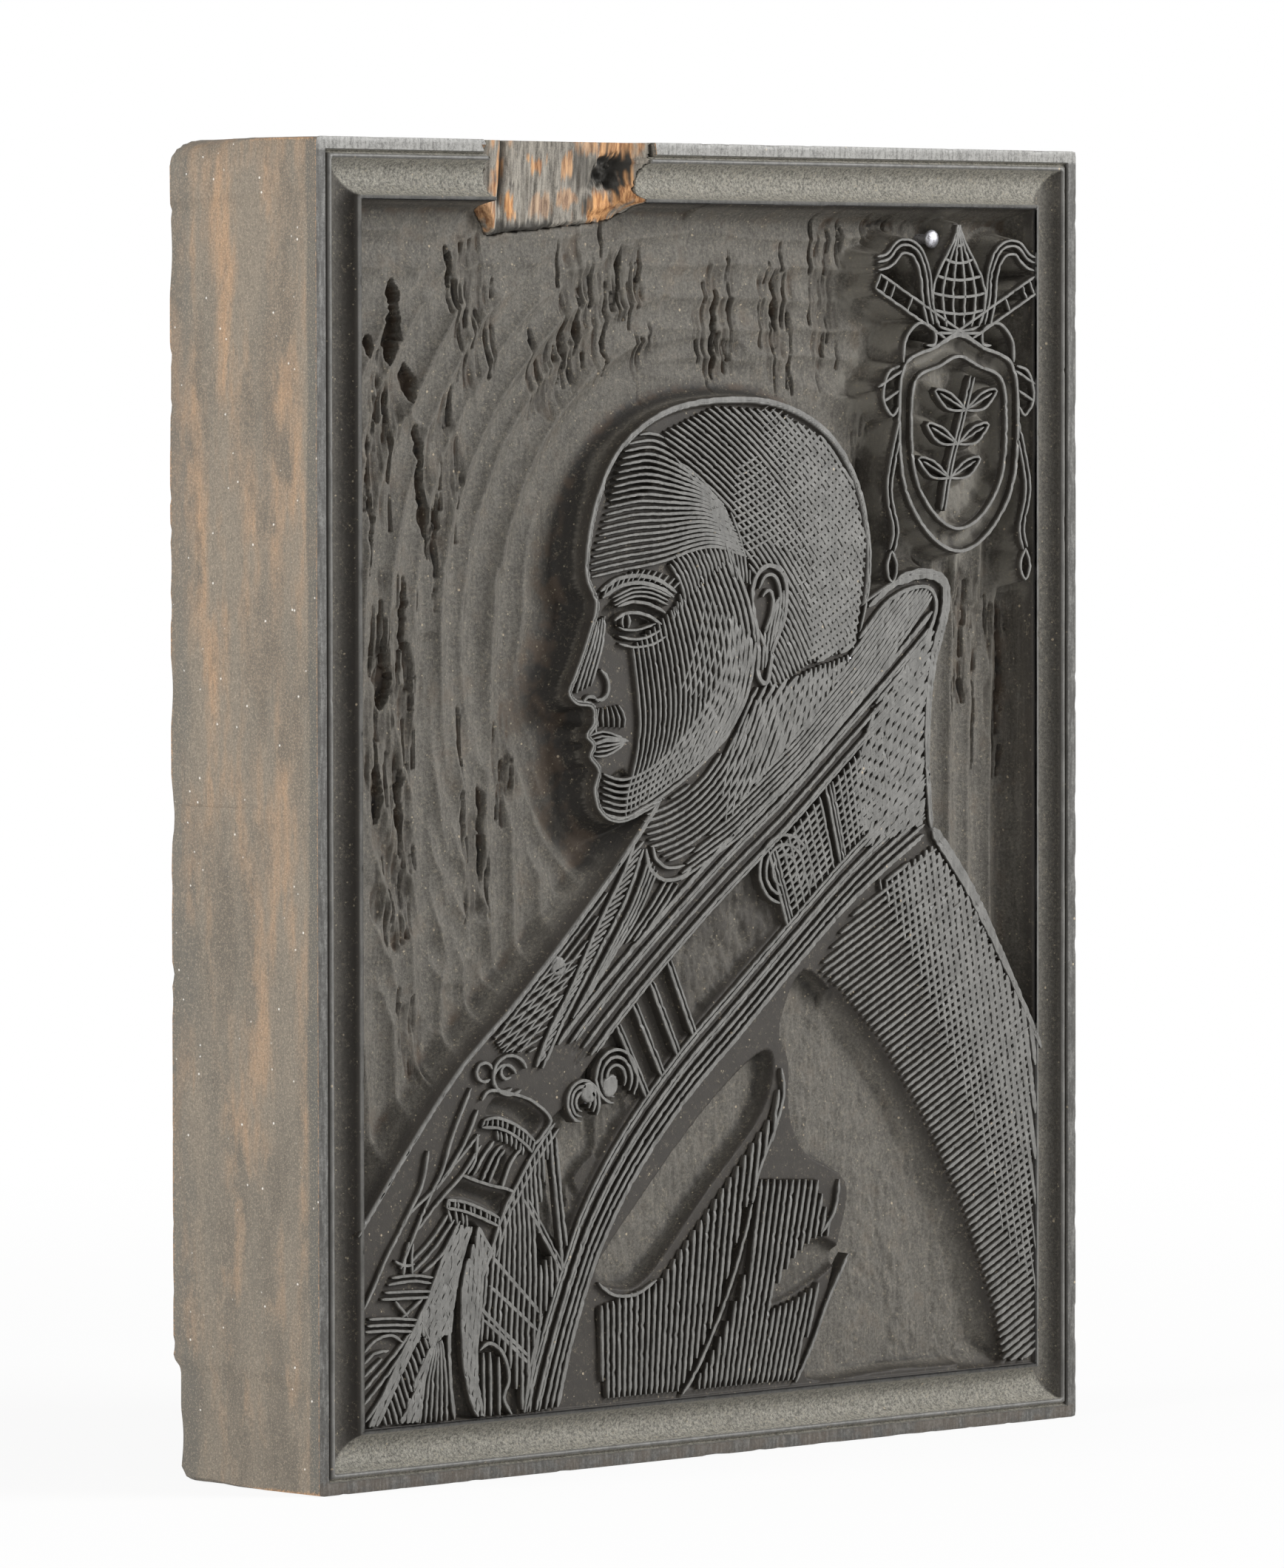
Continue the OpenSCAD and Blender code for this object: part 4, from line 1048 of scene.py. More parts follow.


# How hollow each place is against what lies round it, near and further off. The material
# darkens positive values, as dirt together with painted shade in the hollows, and lightens
# negative ones, as dust and rubbed crests together with painted light.
hollow = (depth - spread_out(depth, 14)) * 1.5 + (depth - spread_out(depth, 110)) * 0.3
on_ground = eased((depth - 2.9) / 0.4) * eased((np.minimum(figure_gap, crest_gap) - 1.2) / 1.5)
hollow = np.clip(np.where(depth > 0.5, hollow, 0), -0.8, 1)
hollow = np.where(hollow < 0, np.maximum(hollow, -0.17) * on_ground, hollow)
hollow *= 1 - 0.6 * on_ground * (1 - torn)
hollow = np.where(crest_gap < 1.3, hollow * 0.3, hollow)
hollow = np.where(figure_gap < 0, hollow * 0.65, hollow)
# Painted shade: the ground next to the head is darkened, most of all in front of the face, where the head
# shades it from the lamp.
near_head = np.clip(1 - head_gap / 8.8, 0, 1)
hollow += (0.7 * near_head**1.1 * by_face + 0.12 * near_head**3) * (figure_gap > 0.3)
# Painted light: the painted dark of the hollows is lifted from the lit slopes of the cracks.
hollow *= 1 - 0.85 * lit_slope * (figure_gap > 1)
badge_dust = eased((3.4 - crest_gap) / 2.4) * eased((depth - 0.5) / 0.8)
hollow -= badge_dust * (0.36 + 0.34 * rough(0.9, 2.2, 67))
beside = np.where(xs > 0, 0.2, 0.4)[None, :]
hollow = np.where(from_border < BORDER_W + 1.5, np.minimum(np.maximum(hollow, -0.2), beside), hollow)
hollow = np.where(in_border, np.clip(hollow, 0, 0.12), hollow)
print("depth, mm:", round(float(depth.min()), 3), "to", round(float(depth.max()), 2))

# %% [markdown]
# A grid this fine would pass the limit on triangles for one piece, so the face is cut into
# upright tiles that share their edge columns. Each tile is Blender's own grid, moved to its
# stations, lowered by its depths, and then given sides and a back by extruding its rim. The
# normals come from the whole field, so that no seam shows between tiles.

# %% The carved tiles
def clear_selection():
    if bpy.context.object and bpy.context.object.mode != "OBJECT":
        mode("OBJECT")
    bpy.ops.object.select_all(action="DESELECT")


def mode(name):
    bpy.ops.object.mode_set(mode=name)


def values_of(items, name, width=1, kind=float):
    """One property of all points, edges, faces or corners, as an array."""
    flat = np.zeros(len(items) * width, kind)
    items.foreach_get(name, flat)
    return flat.reshape(-1, width) if width > 1 else flat


def triangles(mesh):
    return sum(len(polygon.vertices) - 2 for polygon in mesh.polygons)


def flat_uv(piece):
    """A map seen from the front, for the faces that look forwards, and a corner for the rest."""
    mesh = piece.data
    layer = mesh.uv_layers.get("OFBake") or mesh.uv_layers.new(name="OFBake")
    co = values_of(mesh.vertices, "co", 3)
    low, high = co.min(0), co.max(0)
    size = max(high[0] - low[0], high[2] - low[2])
    loops = values_of(mesh.loops, "vertex_index", 1, int)
    uv = np.column_stack([co[loops, 0] - low[0], co[loops, 2] - low[2]]) / size * 0.96 + 0.02
    backward = values_of(mesh.polygons, "normal", 3)[:, 1] > -0.02
    hidden = np.repeat(backward, values_of(mesh.polygons, "loop_total", 1, int))
    uv[hidden] = uv[hidden] * 0.01
    layer.data.foreach_set("uv", uv.astype(np.float32).ravel())


def dress(piece, *materials):
    piece.data.materials.clear()
    for material in materials:
        piece.data.materials.append(material)


def ride_with_block(piece, node):
    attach(piece, body)
    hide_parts(node)


# A shell's rim reaches this far back.
SHELL = 1.0


def carved_slab(name, columns, rows, deep, facing, back, material, **marks):
    """A relief over columns and rows, with sides and a flat back, or a shell without a back."""
    clear_selection()
    bpy.ops.mesh.primitive_grid_add(x_subdivisions=len(columns) - 1, y_subdivisions=len(rows) - 1, size=1)
    slab = bpy.context.object
    slab.name = slab.data.name = name
    mesh = slab.data
    x, z = np.meshgrid(columns, rows)
    solid = np.column_stack([x.ravel(), (FACE_Y + deep).ravel(), (z + BORDER_W).ravel()]) * MM
    mesh.vertices.foreach_set("co", solid.ravel())
    for label, values in marks.items():
        store = mesh.attributes.new(label, "FLOAT", "POINT")
        store.data.foreach_set("value", values.astype(np.float32).ravel())
    mesh.update()
    if mesh.polygons[0].normal.y > 0:
        mesh.flip_normals()
    mode("EDIT")
    bpy.ops.mesh.select_all(action="SELECT")
    bpy.ops.mesh.region_to_loop()
    bpy.ops.mesh.extrude_edges_move(TRANSFORM_OT_translate={"value": (0, 0, 0)})
    mode("OBJECT")
    co = values_of(mesh.vertices, "co", 3)
    front = len(solid)
    co[front:, 1] = co[front:, 1] + SHELL * MM if back is None else back * MM
    mesh.vertices.foreach_set("co", co.ravel())
    mode("EDIT")
    bpy.ops.mesh.edge_face_add()
    bpy.ops.mesh.select_all(action="SELECT")
    bpy.ops.mesh.normals_make_consistent(inside=False)
    mode("OBJECT")
    cells = (len(columns) - 1) * (len(rows) - 1)
    smooth_faces = np.arange(len(mesh.polygons)) < cells
    mesh.polygons.foreach_set("use_smooth", smooth_faces)
    counts = values_of(mesh.polygons, "loop_total", 1, int)
    each = np.repeat(values_of(mesh.polygons, "normal", 3), counts, axis=0)
    carved = np.repeat(smooth_faces, counts)
    each[carved] = facing.reshape(-1, 3)[values_of(mesh.loops, "vertex_index", 1, int)[carved]]
    mesh.normals_split_custom_set(each)
    dress(slab, material)
    flat_uv(slab)
    ride_with_block(slab, "wood_block")
    print(name, "triangles:", triangles(mesh))


def facing_of(deep, rows, columns):
    """The normals of a relief."""
    slope_z, slope_x = np.gradient(deep, rows, columns)
    facing = np.stack([slope_x, -np.ones(deep.shape), slope_z], -1)
    return facing / np.linalg.norm(facing, axis=-1, keepdims=True)


TILES = 5
SLAB_BACK = FACE_Y + 7.5
facing = facing_of(depth, zs, xs)
edges = np.linspace(0, len(xs) - 1, TILES + 1).astype(int)
for number, (a, b) in enumerate(zip(edges, edges[1:] + 1)):
    part = (slice(None), slice(a, b))
    carved_slab(
        f"face_tile_{number + 1}", xs[a:b], zs, depth[part], facing[part], SLAB_BACK, ink,
        torn=torn[part], hollow=hollow[part],
    )

# %% [markdown]
# The lines that print are left standing when everything round them is cut away. Each one is
# built as a closed bar with a flat top at printing height and sides that flare towards the
# floor, because a knife always leaves a line wider at its root. The bars follow drawn paths, and
# a little seeded unevenness in width and height keeps them from looking machined.

# %% Standing lines
FLARE = 0.14
STEP = 0.45
# Lines that cross others stand this much prouder, so that the two surfaces don't coincide.
CROSS_LIFT = 0.012
hand = np.random.default_rng(29)


class Lines:
    """The standing lines of one part of the picture, gathered as closed bars."""

    def __init__(self):
        self.points, self.faces, self.total = [], [], 0

    def add(self, path, half, foot=0.75, lift=0.0, taper=0.9, flare=FLARE):
        path = evenly(path, STEP)
        count = len(path)
        run = np.gradient(path, axis=0)
        run /= np.maximum(np.hypot(*run.T), 1e-9)[:, None]
        side = np.column_stack([-run[:, 1], run[:, 0]])
        at = np.arange(count) * STEP
        from_end = np.minimum(at, at[-1] - at)
        width = half(path) if callable(half) else np.full(count, float(half))
        width = width * (0.35 + 0.65 * eased(from_end / taper)) * (1 + hand.uniform(-0.13, 0.13, count))
        path = path + side * hand.normal(0, 0.014, count)[:, None]
        top = lift + 0.16 * hand.random(count) ** 9 + 0.04 * eased(1 - from_end / taper)
        a, b = side * width[:, None], side * (width + flare)[:, None]
        flat = np.stack([path + a, path - a, path - b, path + b], 1)
        deep = np.column_stack([top, top, np.full(count, foot), np.full(count, foot)])
        solid = np.stack([flat[..., 0], FACE_Y + deep, flat[..., 1] + BORDER_W], -1)
        i, k = np.meshgrid(np.arange(count - 1) * 4, np.arange(4), indexing="ij")
        near, far = i + k, i + (k + 1) % 4
        quads = np.stack([near, far, far + 4, near + 4], -1).reshape(-1, 4)
        last = 4 * (count - 1)
        caps = np.array([[0, 3, 2, 1], [last, last + 1, last + 2, last + 3]])
        self.points.append(solid.reshape(-1, 3))
        self.faces.append(np.vstack([quads, caps]) + self.total)
        self.total += 4 * count

    def add_all(self, paths, half, **choices):
        for path in paths:
            if len(path) > 1:
                self.add(path, half, **choices)

    def build(self, name, material, sharp=34):
        mesh = bpy.data.meshes.new(name)
        points, faces = np.vstack(self.points) * MM, np.vstack(self.faces)
        mesh.from_pydata(points.tolist(), [], faces.tolist())
        piece = bpy.data.objects.new(name, mesh)
        scene.collection.objects.link(piece)
        clear_selection()
        piece.select_set(True)
        bpy.context.view_layer.objects.active = piece
        bpy.ops.object.shade_smooth_by_angle(angle=math.radians(sharp))
        dress(piece, material)
        flat_uv(piece)
        ride_with_block(piece, "wood_block")
        print(name, "triangles:", 2 * len(faces))
        return piece


def clipped(paths, ring, *holes, least=8):
    """The parts of the paths that lie inside an outline and outside the holes."""
    fine = [evenly(path, 0.12) for path in paths]
    every = np.vstack(fine)
    keep = contains(ring, every) & (np.abs(every[:, 0]) < FIELD_W / 2 - 0.1) & (every[:, 1] > 0.25)
    for hole in holes:
        keep &= ~contains(hole, every)
    cuts = np.cumsum([len(path) for path in fine])[:-1]
    return [run for path, kept in zip(fine, np.split(keep, cuts)) for run in runs_of(path, kept, least)]


def swelling(thin, thick, start, end, axis=0):
    """A half width that grows from one place across the picture to another."""
    return lambda path: thin + (thick - thin) * eased((path[:, axis] - start) / (end - start))


print("line tools are ready")

# %% [markdown]
# The head is shaded with curved lines that follow its form, two families of them crossing at
# the back until hardly more than rows of small pits are left between them. The face itself is a
# plain one from a drawing book: a level brow, a calm eye, a straight mouth.

# %% Lines of the head
head = Lines()


def head_lines(rows, half, **choices):
    for row in rows:
        head.add(smooth(on_head(row), 6), half, **choices)


def fan(first, last, count):
    """Lines of the head from one guide to another, both given in shares of its height."""
    return between(smooth(on_head(first), 6), smooth(on_head(last), 6), count)


outline = smooth(on_head(skull_line[3:] + face_line))
head.add(outline, lambda p: 0.11 + 0.11 * eased((p[:, 1] - 84) / 22), foot=1.5)
skull_arcs = arcs((-30, 56), np.arange(38, 86, 0.66), -15, 88)
skull_lines = clipped(skull_arcs, skull_zone, ear_ring)
head.add_all(skull_lines, swelling(0.12, 0.21, 0, 17))
back_arcs = arcs((-10, 140), np.arange(30, 84, 0.82), -110, -15)
back_zone = on_head([
    [0.6, 0.985], [0.62, 0.88], [0.7, 0.74], [0.755, 0.6], [0.74, 0.33], [0.91, 0.36], [0.945, 0.5],
    [0.965, 0.62], [0.93, 0.76], [0.82, 0.89], [0.68, 0.965],
])
head.add_all(clipped(back_arcs, back_zone), swelling(0.04, 0.28, 8, 19), lift=CROSS_LIFT)
temple = on_head([
    [0.5, 0.72], [0.55, 0.6], [0.62, 0.64], [0.71, 0.6], [0.72, 0.4], [0.76, 0.6], [0.7, 0.74],
    [0.6, 0.86], [0.52, 0.84],
])
head.add_all(clipped(back_arcs, temple, ear_ring), 0.12, lift=CROSS_LIFT)
forehead = fan(
    [[0.0, 0.595], [0.1, 0.606], [0.25, 0.618], [0.42, 0.645], [0.55, 0.61]],
    [[0.16, 0.925], [0.24, 0.93], [0.3, 0.905], [0.36, 0.86], [0.44, 0.80]], 21,
)
face_edge = on_head([[p[0] + 0.012, p[1]] for p in face_line[:-1]] + [
    [0.2, 0.04], [0.33, 0.09], [0.45, 0.17], [0.53, 0.27], [0.56, 0.34], [0.57, 0.5], [0.55, 0.6],
    [0.5, 0.72],
    [0.42, 0.79], [0.31, 0.87], [0.27, 0.93],
])
head.add_all(clipped(forehead, face_edge), swelling(0.10, 0.17, -19, 4))
beside_eye = on_head([
    [0.27, 0.462], [0.285, 0.5], [0.31, 0.53], [0.315, 0.565], [0.27, 0.6], [0.3, 0.632], [0.42, 0.648],
    [0.53, 0.62], [0.5, 0.612], [0.38, 0.545],
])
eye_mid = on_head([[0.19, 0.49]])[0]
crow = [eye_mid + (arc - eye_mid) * [1.0, 1.1] for arc in arcs(eye_mid, np.arange(3.9, 18, 0.62), -50, 85)]
head.add_all(clipped(crow, beside_eye, least=6), swelling(0.1, 0.17, -12, 4))
brow_side = fan(
    [[0.3, 0.88], [0.4, 0.78], [0.47, 0.66], [0.5, 0.56]],
    [[0.47, 0.8], [0.53, 0.72], [0.565, 0.62], [0.565, 0.54]], 7,
)
head.add_all(clipped(brow_side, face_edge), 0.12, lift=CROSS_LIFT)
head_lines([
    [[0.045, 0.56], [0.1, 0.585], [0.17, 0.59], [0.24, 0.575], [0.3, 0.54]],
    [[0.05, 0.545], [0.11, 0.568], [0.18, 0.572], [0.25, 0.553], [0.29, 0.53]],
], 0.2)
for k in np.linspace(0, 1, 13):
    root = np.array([0.055 + 0.23 * k, 0.548 + 0.03 * math.sin(math.pi * k)])
    head_lines([[root, root + [0.018 + 0.012 * k, 0.03 - 0.012 * k]]], 0.14)
head_lines([
    [[0.088, 0.487], [0.118, 0.500], [0.16, 0.501], [0.205, 0.489], [0.245, 0.467]],
    [[0.1, 0.520], [0.15, 0.528], [0.21, 0.517], [0.26, 0.494]],
], 0.16)
head_lines([[[0.1, 0.470], [0.13, 0.461], [0.175, 0.460], [0.225, 0.470]]], 0.1)
iris = [
    [[0.118, 0.499], [0.112, 0.484], [0.117, 0.468]],
    [[0.133, 0.499], [0.138, 0.482], [0.132, 0.466]],
]
head_lines(iris, 0.13)
head_lines([
    [[0.1, 0.448], [0.15, 0.437], [0.2, 0.44], [0.245, 0.455]],
    [[0.1, 0.43], [0.15, 0.418], [0.21, 0.42], [0.26, 0.437]],
], 0.11)
lid = fan(
    [[0.09, 0.523], [0.15, 0.54], [0.21, 0.535], [0.27, 0.512]],
    [[0.085, 0.542], [0.15, 0.56], [0.215, 0.556], [0.28, 0.53]], 3,
)
head.add_all(lid, 0.1)
nose_side = fan(
    [[0.055, 0.5], [0.045, 0.44], [0.02, 0.38], [0.0, 0.335]],
    [[0.03, 0.49], [0.005, 0.43], [-0.03, 0.365], [-0.05, 0.322]], 4,
)
head.add_all(nose_side, 0.13)
head_lines([
    [[-0.03, 0.297], [-0.012, 0.31], [0.012, 0.306], [0.022, 0.296]],
    [[0.012, 0.302], [0.04, 0.3], [0.058, 0.323], [0.054, 0.352], [0.035, 0.372]],
    [[0.004, 0.262], [0.012, 0.24], [0.01, 0.222]],
], 0.17)
head_lines([[[0.0, 0.193], [0.04, 0.201], [0.08, 0.2], [0.118, 0.193]]], 0.2)
lips = fan(
    [[-0.012, 0.215], [0.03, 0.223], [0.07, 0.212], [0.11, 0.198]],
    [[-0.008, 0.168], [0.03, 0.162], [0.07, 0.172], [0.108, 0.19]], 6,
)
head.add_all(clipped(lips, face_edge, least=6), 0.1)
upper_lip = fan(
    [[0.022, 0.28], [0.014, 0.255], [0.018, 0.236]],
    [[0.09, 0.282], [0.108, 0.255], [0.106, 0.226]], 6,
)
head.add_all(upper_lip, 0.08)
cheek = fan(
    [[0.145, 0.42], [0.155, 0.33], [0.16, 0.23], [0.14, 0.14], [0.11, 0.07], [0.1, 0.012]],
    [[0.49, 0.62], [0.545, 0.5], [0.565, 0.38], [0.55, 0.29], [0.5, 0.22], [0.44, 0.155]], 24,
)
head.add_all(clipped(cheek, face_edge), swelling(0.09, 0.18, -14, 5))
jaw = fan(
    [[0.02, 0.025], [0.1, 0.008], [0.2, 0.04], [0.33, 0.1], [0.45, 0.18], [0.53, 0.28], [0.565, 0.4]],
    [[0.03, 0.12], [0.1, 0.1], [0.2, 0.125], [0.31, 0.19], [0.4, 0.27], [0.46, 0.36], [0.49, 0.47]], 7,
)
head.add_all(jaw, swelling(0.12, 0.22, -16, 4), lift=CROSS_LIFT)
cheek_back = fan([[0.49, 0.47], [0.46, 0.36], [0.4, 0.27]], [[0.4, 0.52], [0.36, 0.4], [0.3, 0.3]], 6)
head.add_all(cheek_back, 0.1, lift=CROSS_LIFT)
ear_inner = [
    [[0.585, 0.53], [0.605, 0.558], [0.635, 0.56], [0.655, 0.53], [0.652, 0.47], [0.625, 0.41]],
    [[0.595, 0.51], [0.615, 0.525], [0.632, 0.505], [0.622, 0.46], [0.6, 0.43]],
    [[0.578, 0.43], [0.59, 0.4], [0.6, 0.37], [0.594, 0.335]],
]
head.add(np.vstack([ear_ring, ear_ring[:1]]), 0.24)
head_lines(ear_inner, 0.17)
ear_fill = fan([[0.585, 0.33], [0.6, 0.42], [0.645, 0.5]], [[0.64, 0.42], [0.662, 0.46], [0.668, 0.52]], 5)
head.add_all(clipped(ear_fill, ear_ring, least=6), 0.14)
neck_zone = np.vstack([
    on_head([
        [0.1, -0.012], [0.2, 0.02], [0.33, 0.075], [0.46, 0.155], [0.56, 0.26], [0.63, 0.27], [0.74, 0.32],
        [0.91, 0.35],
    ]),
    [[23, 82.4], [20.5, 78.6], [15, 73.4], [7, 67], [-1, 61.4], [-5.4, 58.6], [-9.2, 60.8], [-10.4, 64]],
])
neck = arcs((-12, 82), np.arange(12, 48, 0.72), -100, 20)
head.add_all(clipped(neck, neck_zone, least=6), swelling(0.13, 0.22, -6, 16))
neck_cross = arcs((30, 60), np.arange(6, 42, 0.95), 90, 190)
neck_back = np.array([
    [2, 62.6], [1.5, 68], [3.4, 73], [6, 77.6], [22.6, 80.6], [20.5, 78.6], [15, 73.4], [7, 67],
])
head.add_all(clipped(neck_cross, neck_back, ear_ring, least=6), swelling(0.1, 0.3, 2, 14), lift=CROSS_LIFT)
head.build("lines_head", ink)

# %% [markdown]
# The shoulder and the hood are ruled with slanting lines. A second, wider family crosses them
# where the cloth turns away from the light, and leaves only small dashes open.

# %% Lines of the shoulder and hood
cloth = Lines()
slant = ruled((35, 30), 27, 0.82, 90, 60, 3)
cloth.add_all(clipped(slant, shoulder_zone), swelling(0.15, 0.2, 24, 44))
steep = ruled((44, 34), 100, 0.97, 40, 60, -2)
shade_zone = np.array([
    [26, 56], [30, 50], [34.5, 42.6], [39.5, 33], [43.6, 24], [46.4, 15.5], [51.9, 8], [51.9, 38],
    [46, 46], [41, 53.4], [35.2, 59.6], [28, 56],
])
cloth.add_all(
    clipped(steep, shade_zone), lambda p: 0.1 + 0.22 * eased((p @ [0.84, 0.54] - 51) / 7), lift=CROSS_LIFT
)
hood_slant = ruled((29, 68), 36, 0.8, 40, 40)
cloth.add_all(clipped(hood_slant, hood_zone), swelling(0.2, 0.28, 24, 32))
hood_steep = ruled((29, 68), 66, 0.95, 40, 40)
cloth.add_all(clipped(hood_steep, hood_zone), swelling(0.16, 0.32, 23, 30), lift=CROSS_LIFT)
cloth.add(offset(shoulder_line, 0.2), lambda p: 0.3 + 0.34 * eased((p[:, 1] - 40) / 14), foot=1.6)
cloth.add(offset(hood_line[:-6], 0.42), lambda p: 0.3 + 0.28 * eased((p[:, 1] - 66) / 16), foot=1.6)
collar_back = smooth([[24.9, 86.4], [29, 88.9], [33.6, 90.2], [36.6, 89.6]])
cloth.add(collar_back, 0.3, foot=1.2)
oval = [[27.4, 86.6], [31, 88.2], [34.4, 88.4], [35.7, 86.6], [34.6, 83.6], [31.2, 80], [26, 75.6]]
cloth.add(smooth([[24.2, 83.6], *oval]), 0.2)
collar_zone = np.vstack([
    [[24.3, 84.2], *oval],
    [[21, 72.4], [12, 65.6], [2.5, 59.2], [-5.4, 56.4], [-3, 59.6], [7, 67.6], [15, 74], [21, 79.6]],
])
collar_lines = between(
    [[-4.6, 57], [4, 61.2], [14, 68.2], [24, 76.4], [33, 85.4], [35.6, 88]],
    [[-7, 63.4], [2, 68.6], [12, 74.6], [22, 83], [28, 88.6], [33, 92]], 13,
)
cloth.add_all(clipped(collar_lines, collar_zone), swelling(0.13, 0.2, 0, 26))
cloth.build("lines_cloth", ink)

# %% [markdown]
# The sleeve has upright lines that lean more and more to the right, with deep white folds left
# open between them.

# %% Lines of the sleeve
sleeve = Lines()
upright = between([[-18.2, 0.1], [-18.8, 18], [-18.6, 40]], [[13.4, 0.1], [17.6, 14], [23.4, 38]], 40)
sleeve.add_all(clipped(upright, sleeve_ring, sleeve_white, sleeve_gap, sleeve_leaf), 0.17, foot=1.1)
for path in (
    [[11, 35.6], [11.4, 33], [10.2, 29.4], [7.6, 24.6], [6.4, 21.2]],
    [[6.4, 20.8], [5, 16.6], [2, 10], [-2, 3.4], [-4.4, 0.6]],
    [[-17.2, 13.6], [-15, 12.2], [-11.6, 12], [-8.4, 13.4]],
    [[20.2, 22.8], [19.4, 19.4], [17.2, 16.8]],
    [[21.6, 14.4], [18.4, 9.6], [16, 5], [13.2, 0.6]],
):
    sleeve.add(smooth(path), 0.16, foot=1.6)
sleeve.build("lines_sleeve", ink)

# %% [markdown]
# The wide band is bordered by long even lines with smooth hollows between them. Its middle is
# a row of panels, and across it run straight bars.

# %% Lines of the band
band = Lines()
STRIPE_HALF = [0.24, 0.16, 0.14, 0.17, 0.17, 0.13, 0.13, 0.17, 0.16, 0.13, 0.17, 0.17, 0.24]
STRIPE_LAST = [6.9, 6.7, 6.6, 6.5, 6.4, 6.3] + [10.9] * len(LOWER_LINES)
for t, half, last in zip(UPPER_LINES + LOWER_LINES, STRIPE_HALF, STRIPE_LAST):
    stripe = along_band(t, 0.25, last)
    band.add(stripe[stripe[:, 1] > 0.3], half, foot=1.3)
for s in BARS:
    bar = across_band(np.full(2, s), np.array([PANEL_T[0] - 0.02, PANEL_T[1] + 0.02]))
    band.add(bar, 0.17, foot=1.5)
    band.add(bar + [0.55, 0.12], 0.1, foot=1.3)
for first, last in LATTICE:
    for s in np.linspace(first, last, max(3, int(round((last - first) * 11.6 / 1.05)))):
        band.add(across_band(np.full(2, s), np.array(PANEL_T)), 0.14, foot=1.3)
    for t in np.linspace(PANEL_T[0], PANEL_T[1], 12)[1:-1]:
        row = across_band(np.linspace(first, last, 8), np.full(8, t))
        band.add(row, 0.16, foot=1.2, lift=CROSS_LIFT)
for middle, radius in SCROLLS:
    for shrink in (1, 0.74, 0.46):
        turn = np.linspace(-0.6, 4.6, 26)
        curl = np.column_stack([np.cos(turn), np.sin(turn)]) * np.linspace(radius, radius * 0.8, 26)[:, None]
        band.add(np.array(middle) + curl * shrink, 0.15, foot=1.4)
band.build("lines_band", ink)

# %% [markdown]
# Down the chest runs a ladder-like seam. At the lower left the band is held by a clasp of two
# smooth rods, with dotted mounts below them, and under it the straps and folds fan out to the
# foot of the picture: solid strips with rows of pits, upright lines, slanting bars, one long
# smooth hollow and a few flutes.

# %% Lines of the chest, the clasp and the straps
def curve(*points):
    return smooth(points, 6)


fold = Lines()
seam_left = curve([-11.6, 61.4], [-13.5, 57.8], [-17.3, 52.3], [-21.4, 45.7], [-24.6, 41.2], [-26.5, 37.6])
seam_right = curve([-10.3, 60.6], [-13.1, 55], [-17.1, 49.6], [-20.8, 44.6], [-22.9, 41.7], [-25.6, 37.4])
fold.add(seam_left, 0.17)
fold.add(seam_right, 0.17)
for a, b in zip(evenly(seam_left, 0.92)[2:], evenly(seam_right, 0.92)):
    fold.add(evenly([a, a + (b - a) * 0.9 + [0.25, 0.9]], 0.4), 0.12, taper=0.4)
for first, last, count in (
    (curve([-9.4, 59.6], [-12, 54.6], [-16.6, 48.4], [-21, 42.6]),
     curve([-8.2, 58.2], [-11, 53.6], [-15, 49], [-19, 44.6]), 4),
    (curve([-6.8, 57], [-9.6, 53.8], [-13, 50.4]), curve([-5, 56.6], [-8, 53.4], [-10.6, 50.8]), 3),
):
    fold.add_all(between(first, last, count), 0.13)
fold.add(curve([-9.9, 60.6], [-9.2, 58.3], [-7, 57.1], [-4.6, 57.3], [-3, 58.2]), 0.2)
fold.add(curve([-8.9, 61], [-8.3, 59.4], [-6.4, 58.4], [-4, 58.6]), 0.15)
chest_patch = np.array([
    [-14.6, 58], [-22.6, 50], [-32.8, 41], [-31.6, 39.4], [-26.8, 39.2], [-22.6, 45], [-18.4, 51.4],
])
fold.add_all(clipped(ruled((-27, 42.6), 22, 0.72, 5, 30), chest_patch), 0.1)
fold.add_all(clipped(ruled((-20, 51), 42, 0.9, 3, 20), chest_patch), 0.1)
fold.add(offset(evenly(chest_line, 0.5), 0.35), lambda p: 0.12 + 0.12 * eased((p[:, 1] - 34) / 22), foot=1.2)
for ring, half in (((-30.4, 36.9), 2.5), ((-31.2, 36.6), 1.7), ((-34.2, 37.4), 1.2), ((-30.9, 37.3), 0.9)):
    turn = np.linspace(0.3, 5.4, 26)
    fold.add(np.array(ring) + np.column_stack([np.cos(turn), np.sin(turn) * 0.85]) * half, 0.14, taper=0.5)
rod_top = curve([-34.2, 32.3], [-32.3, 32.4], [-30.1, 31.7], [-28.2, 30.7], [-26.8, 29.6])
rod_under = curve([-34.6, 31.5], [-32.3, 31.3], [-30.3, 30.6], [-28.3, 29.4], [-27.2, 28.4])
mount_top = curve([-39.7, 24], [-37.2, 23.6], [-34.4, 22.6], [-32.1, 21.6])
mount_under = curve([-39.8, 23.1], [-37.2, 22.6], [-34.4, 21.6], [-32.2, 20.7])
for path in (
    curve([-34.6, 34.4], [-33.4, 35.4], [-30.2, 34.9], [-27, 33.9], [-24.4, 31.9], [-25.4, 30.4],
          [-26.9, 29.2]),
    rod_top, rod_under,
    curve([-37.6, 26.5], [-33.8, 25.3], [-30.1, 24.3], [-31, 22.6], [-31.8, 21.5]),
    mount_top, mount_under,
    curve([-35.9, 26.4], [-34.4, 28.4], [-32.9, 29.9]), curve([-34.6, 25.8], [-32.9, 28.4], [-31.6, 29.4]),
    curve([-33.6, 25.5], [-32.4, 27.6], [-31.3, 28.9]), curve([-31.7, 24.8], [-30.4, 27.4], [-28.8, 28.9]),
    curve([-36.8, 26.6], [-35.6, 28.2], [-35.3, 30.8]),
):
    fold.add(path, 0.15, foot=1.4, taper=0.5)
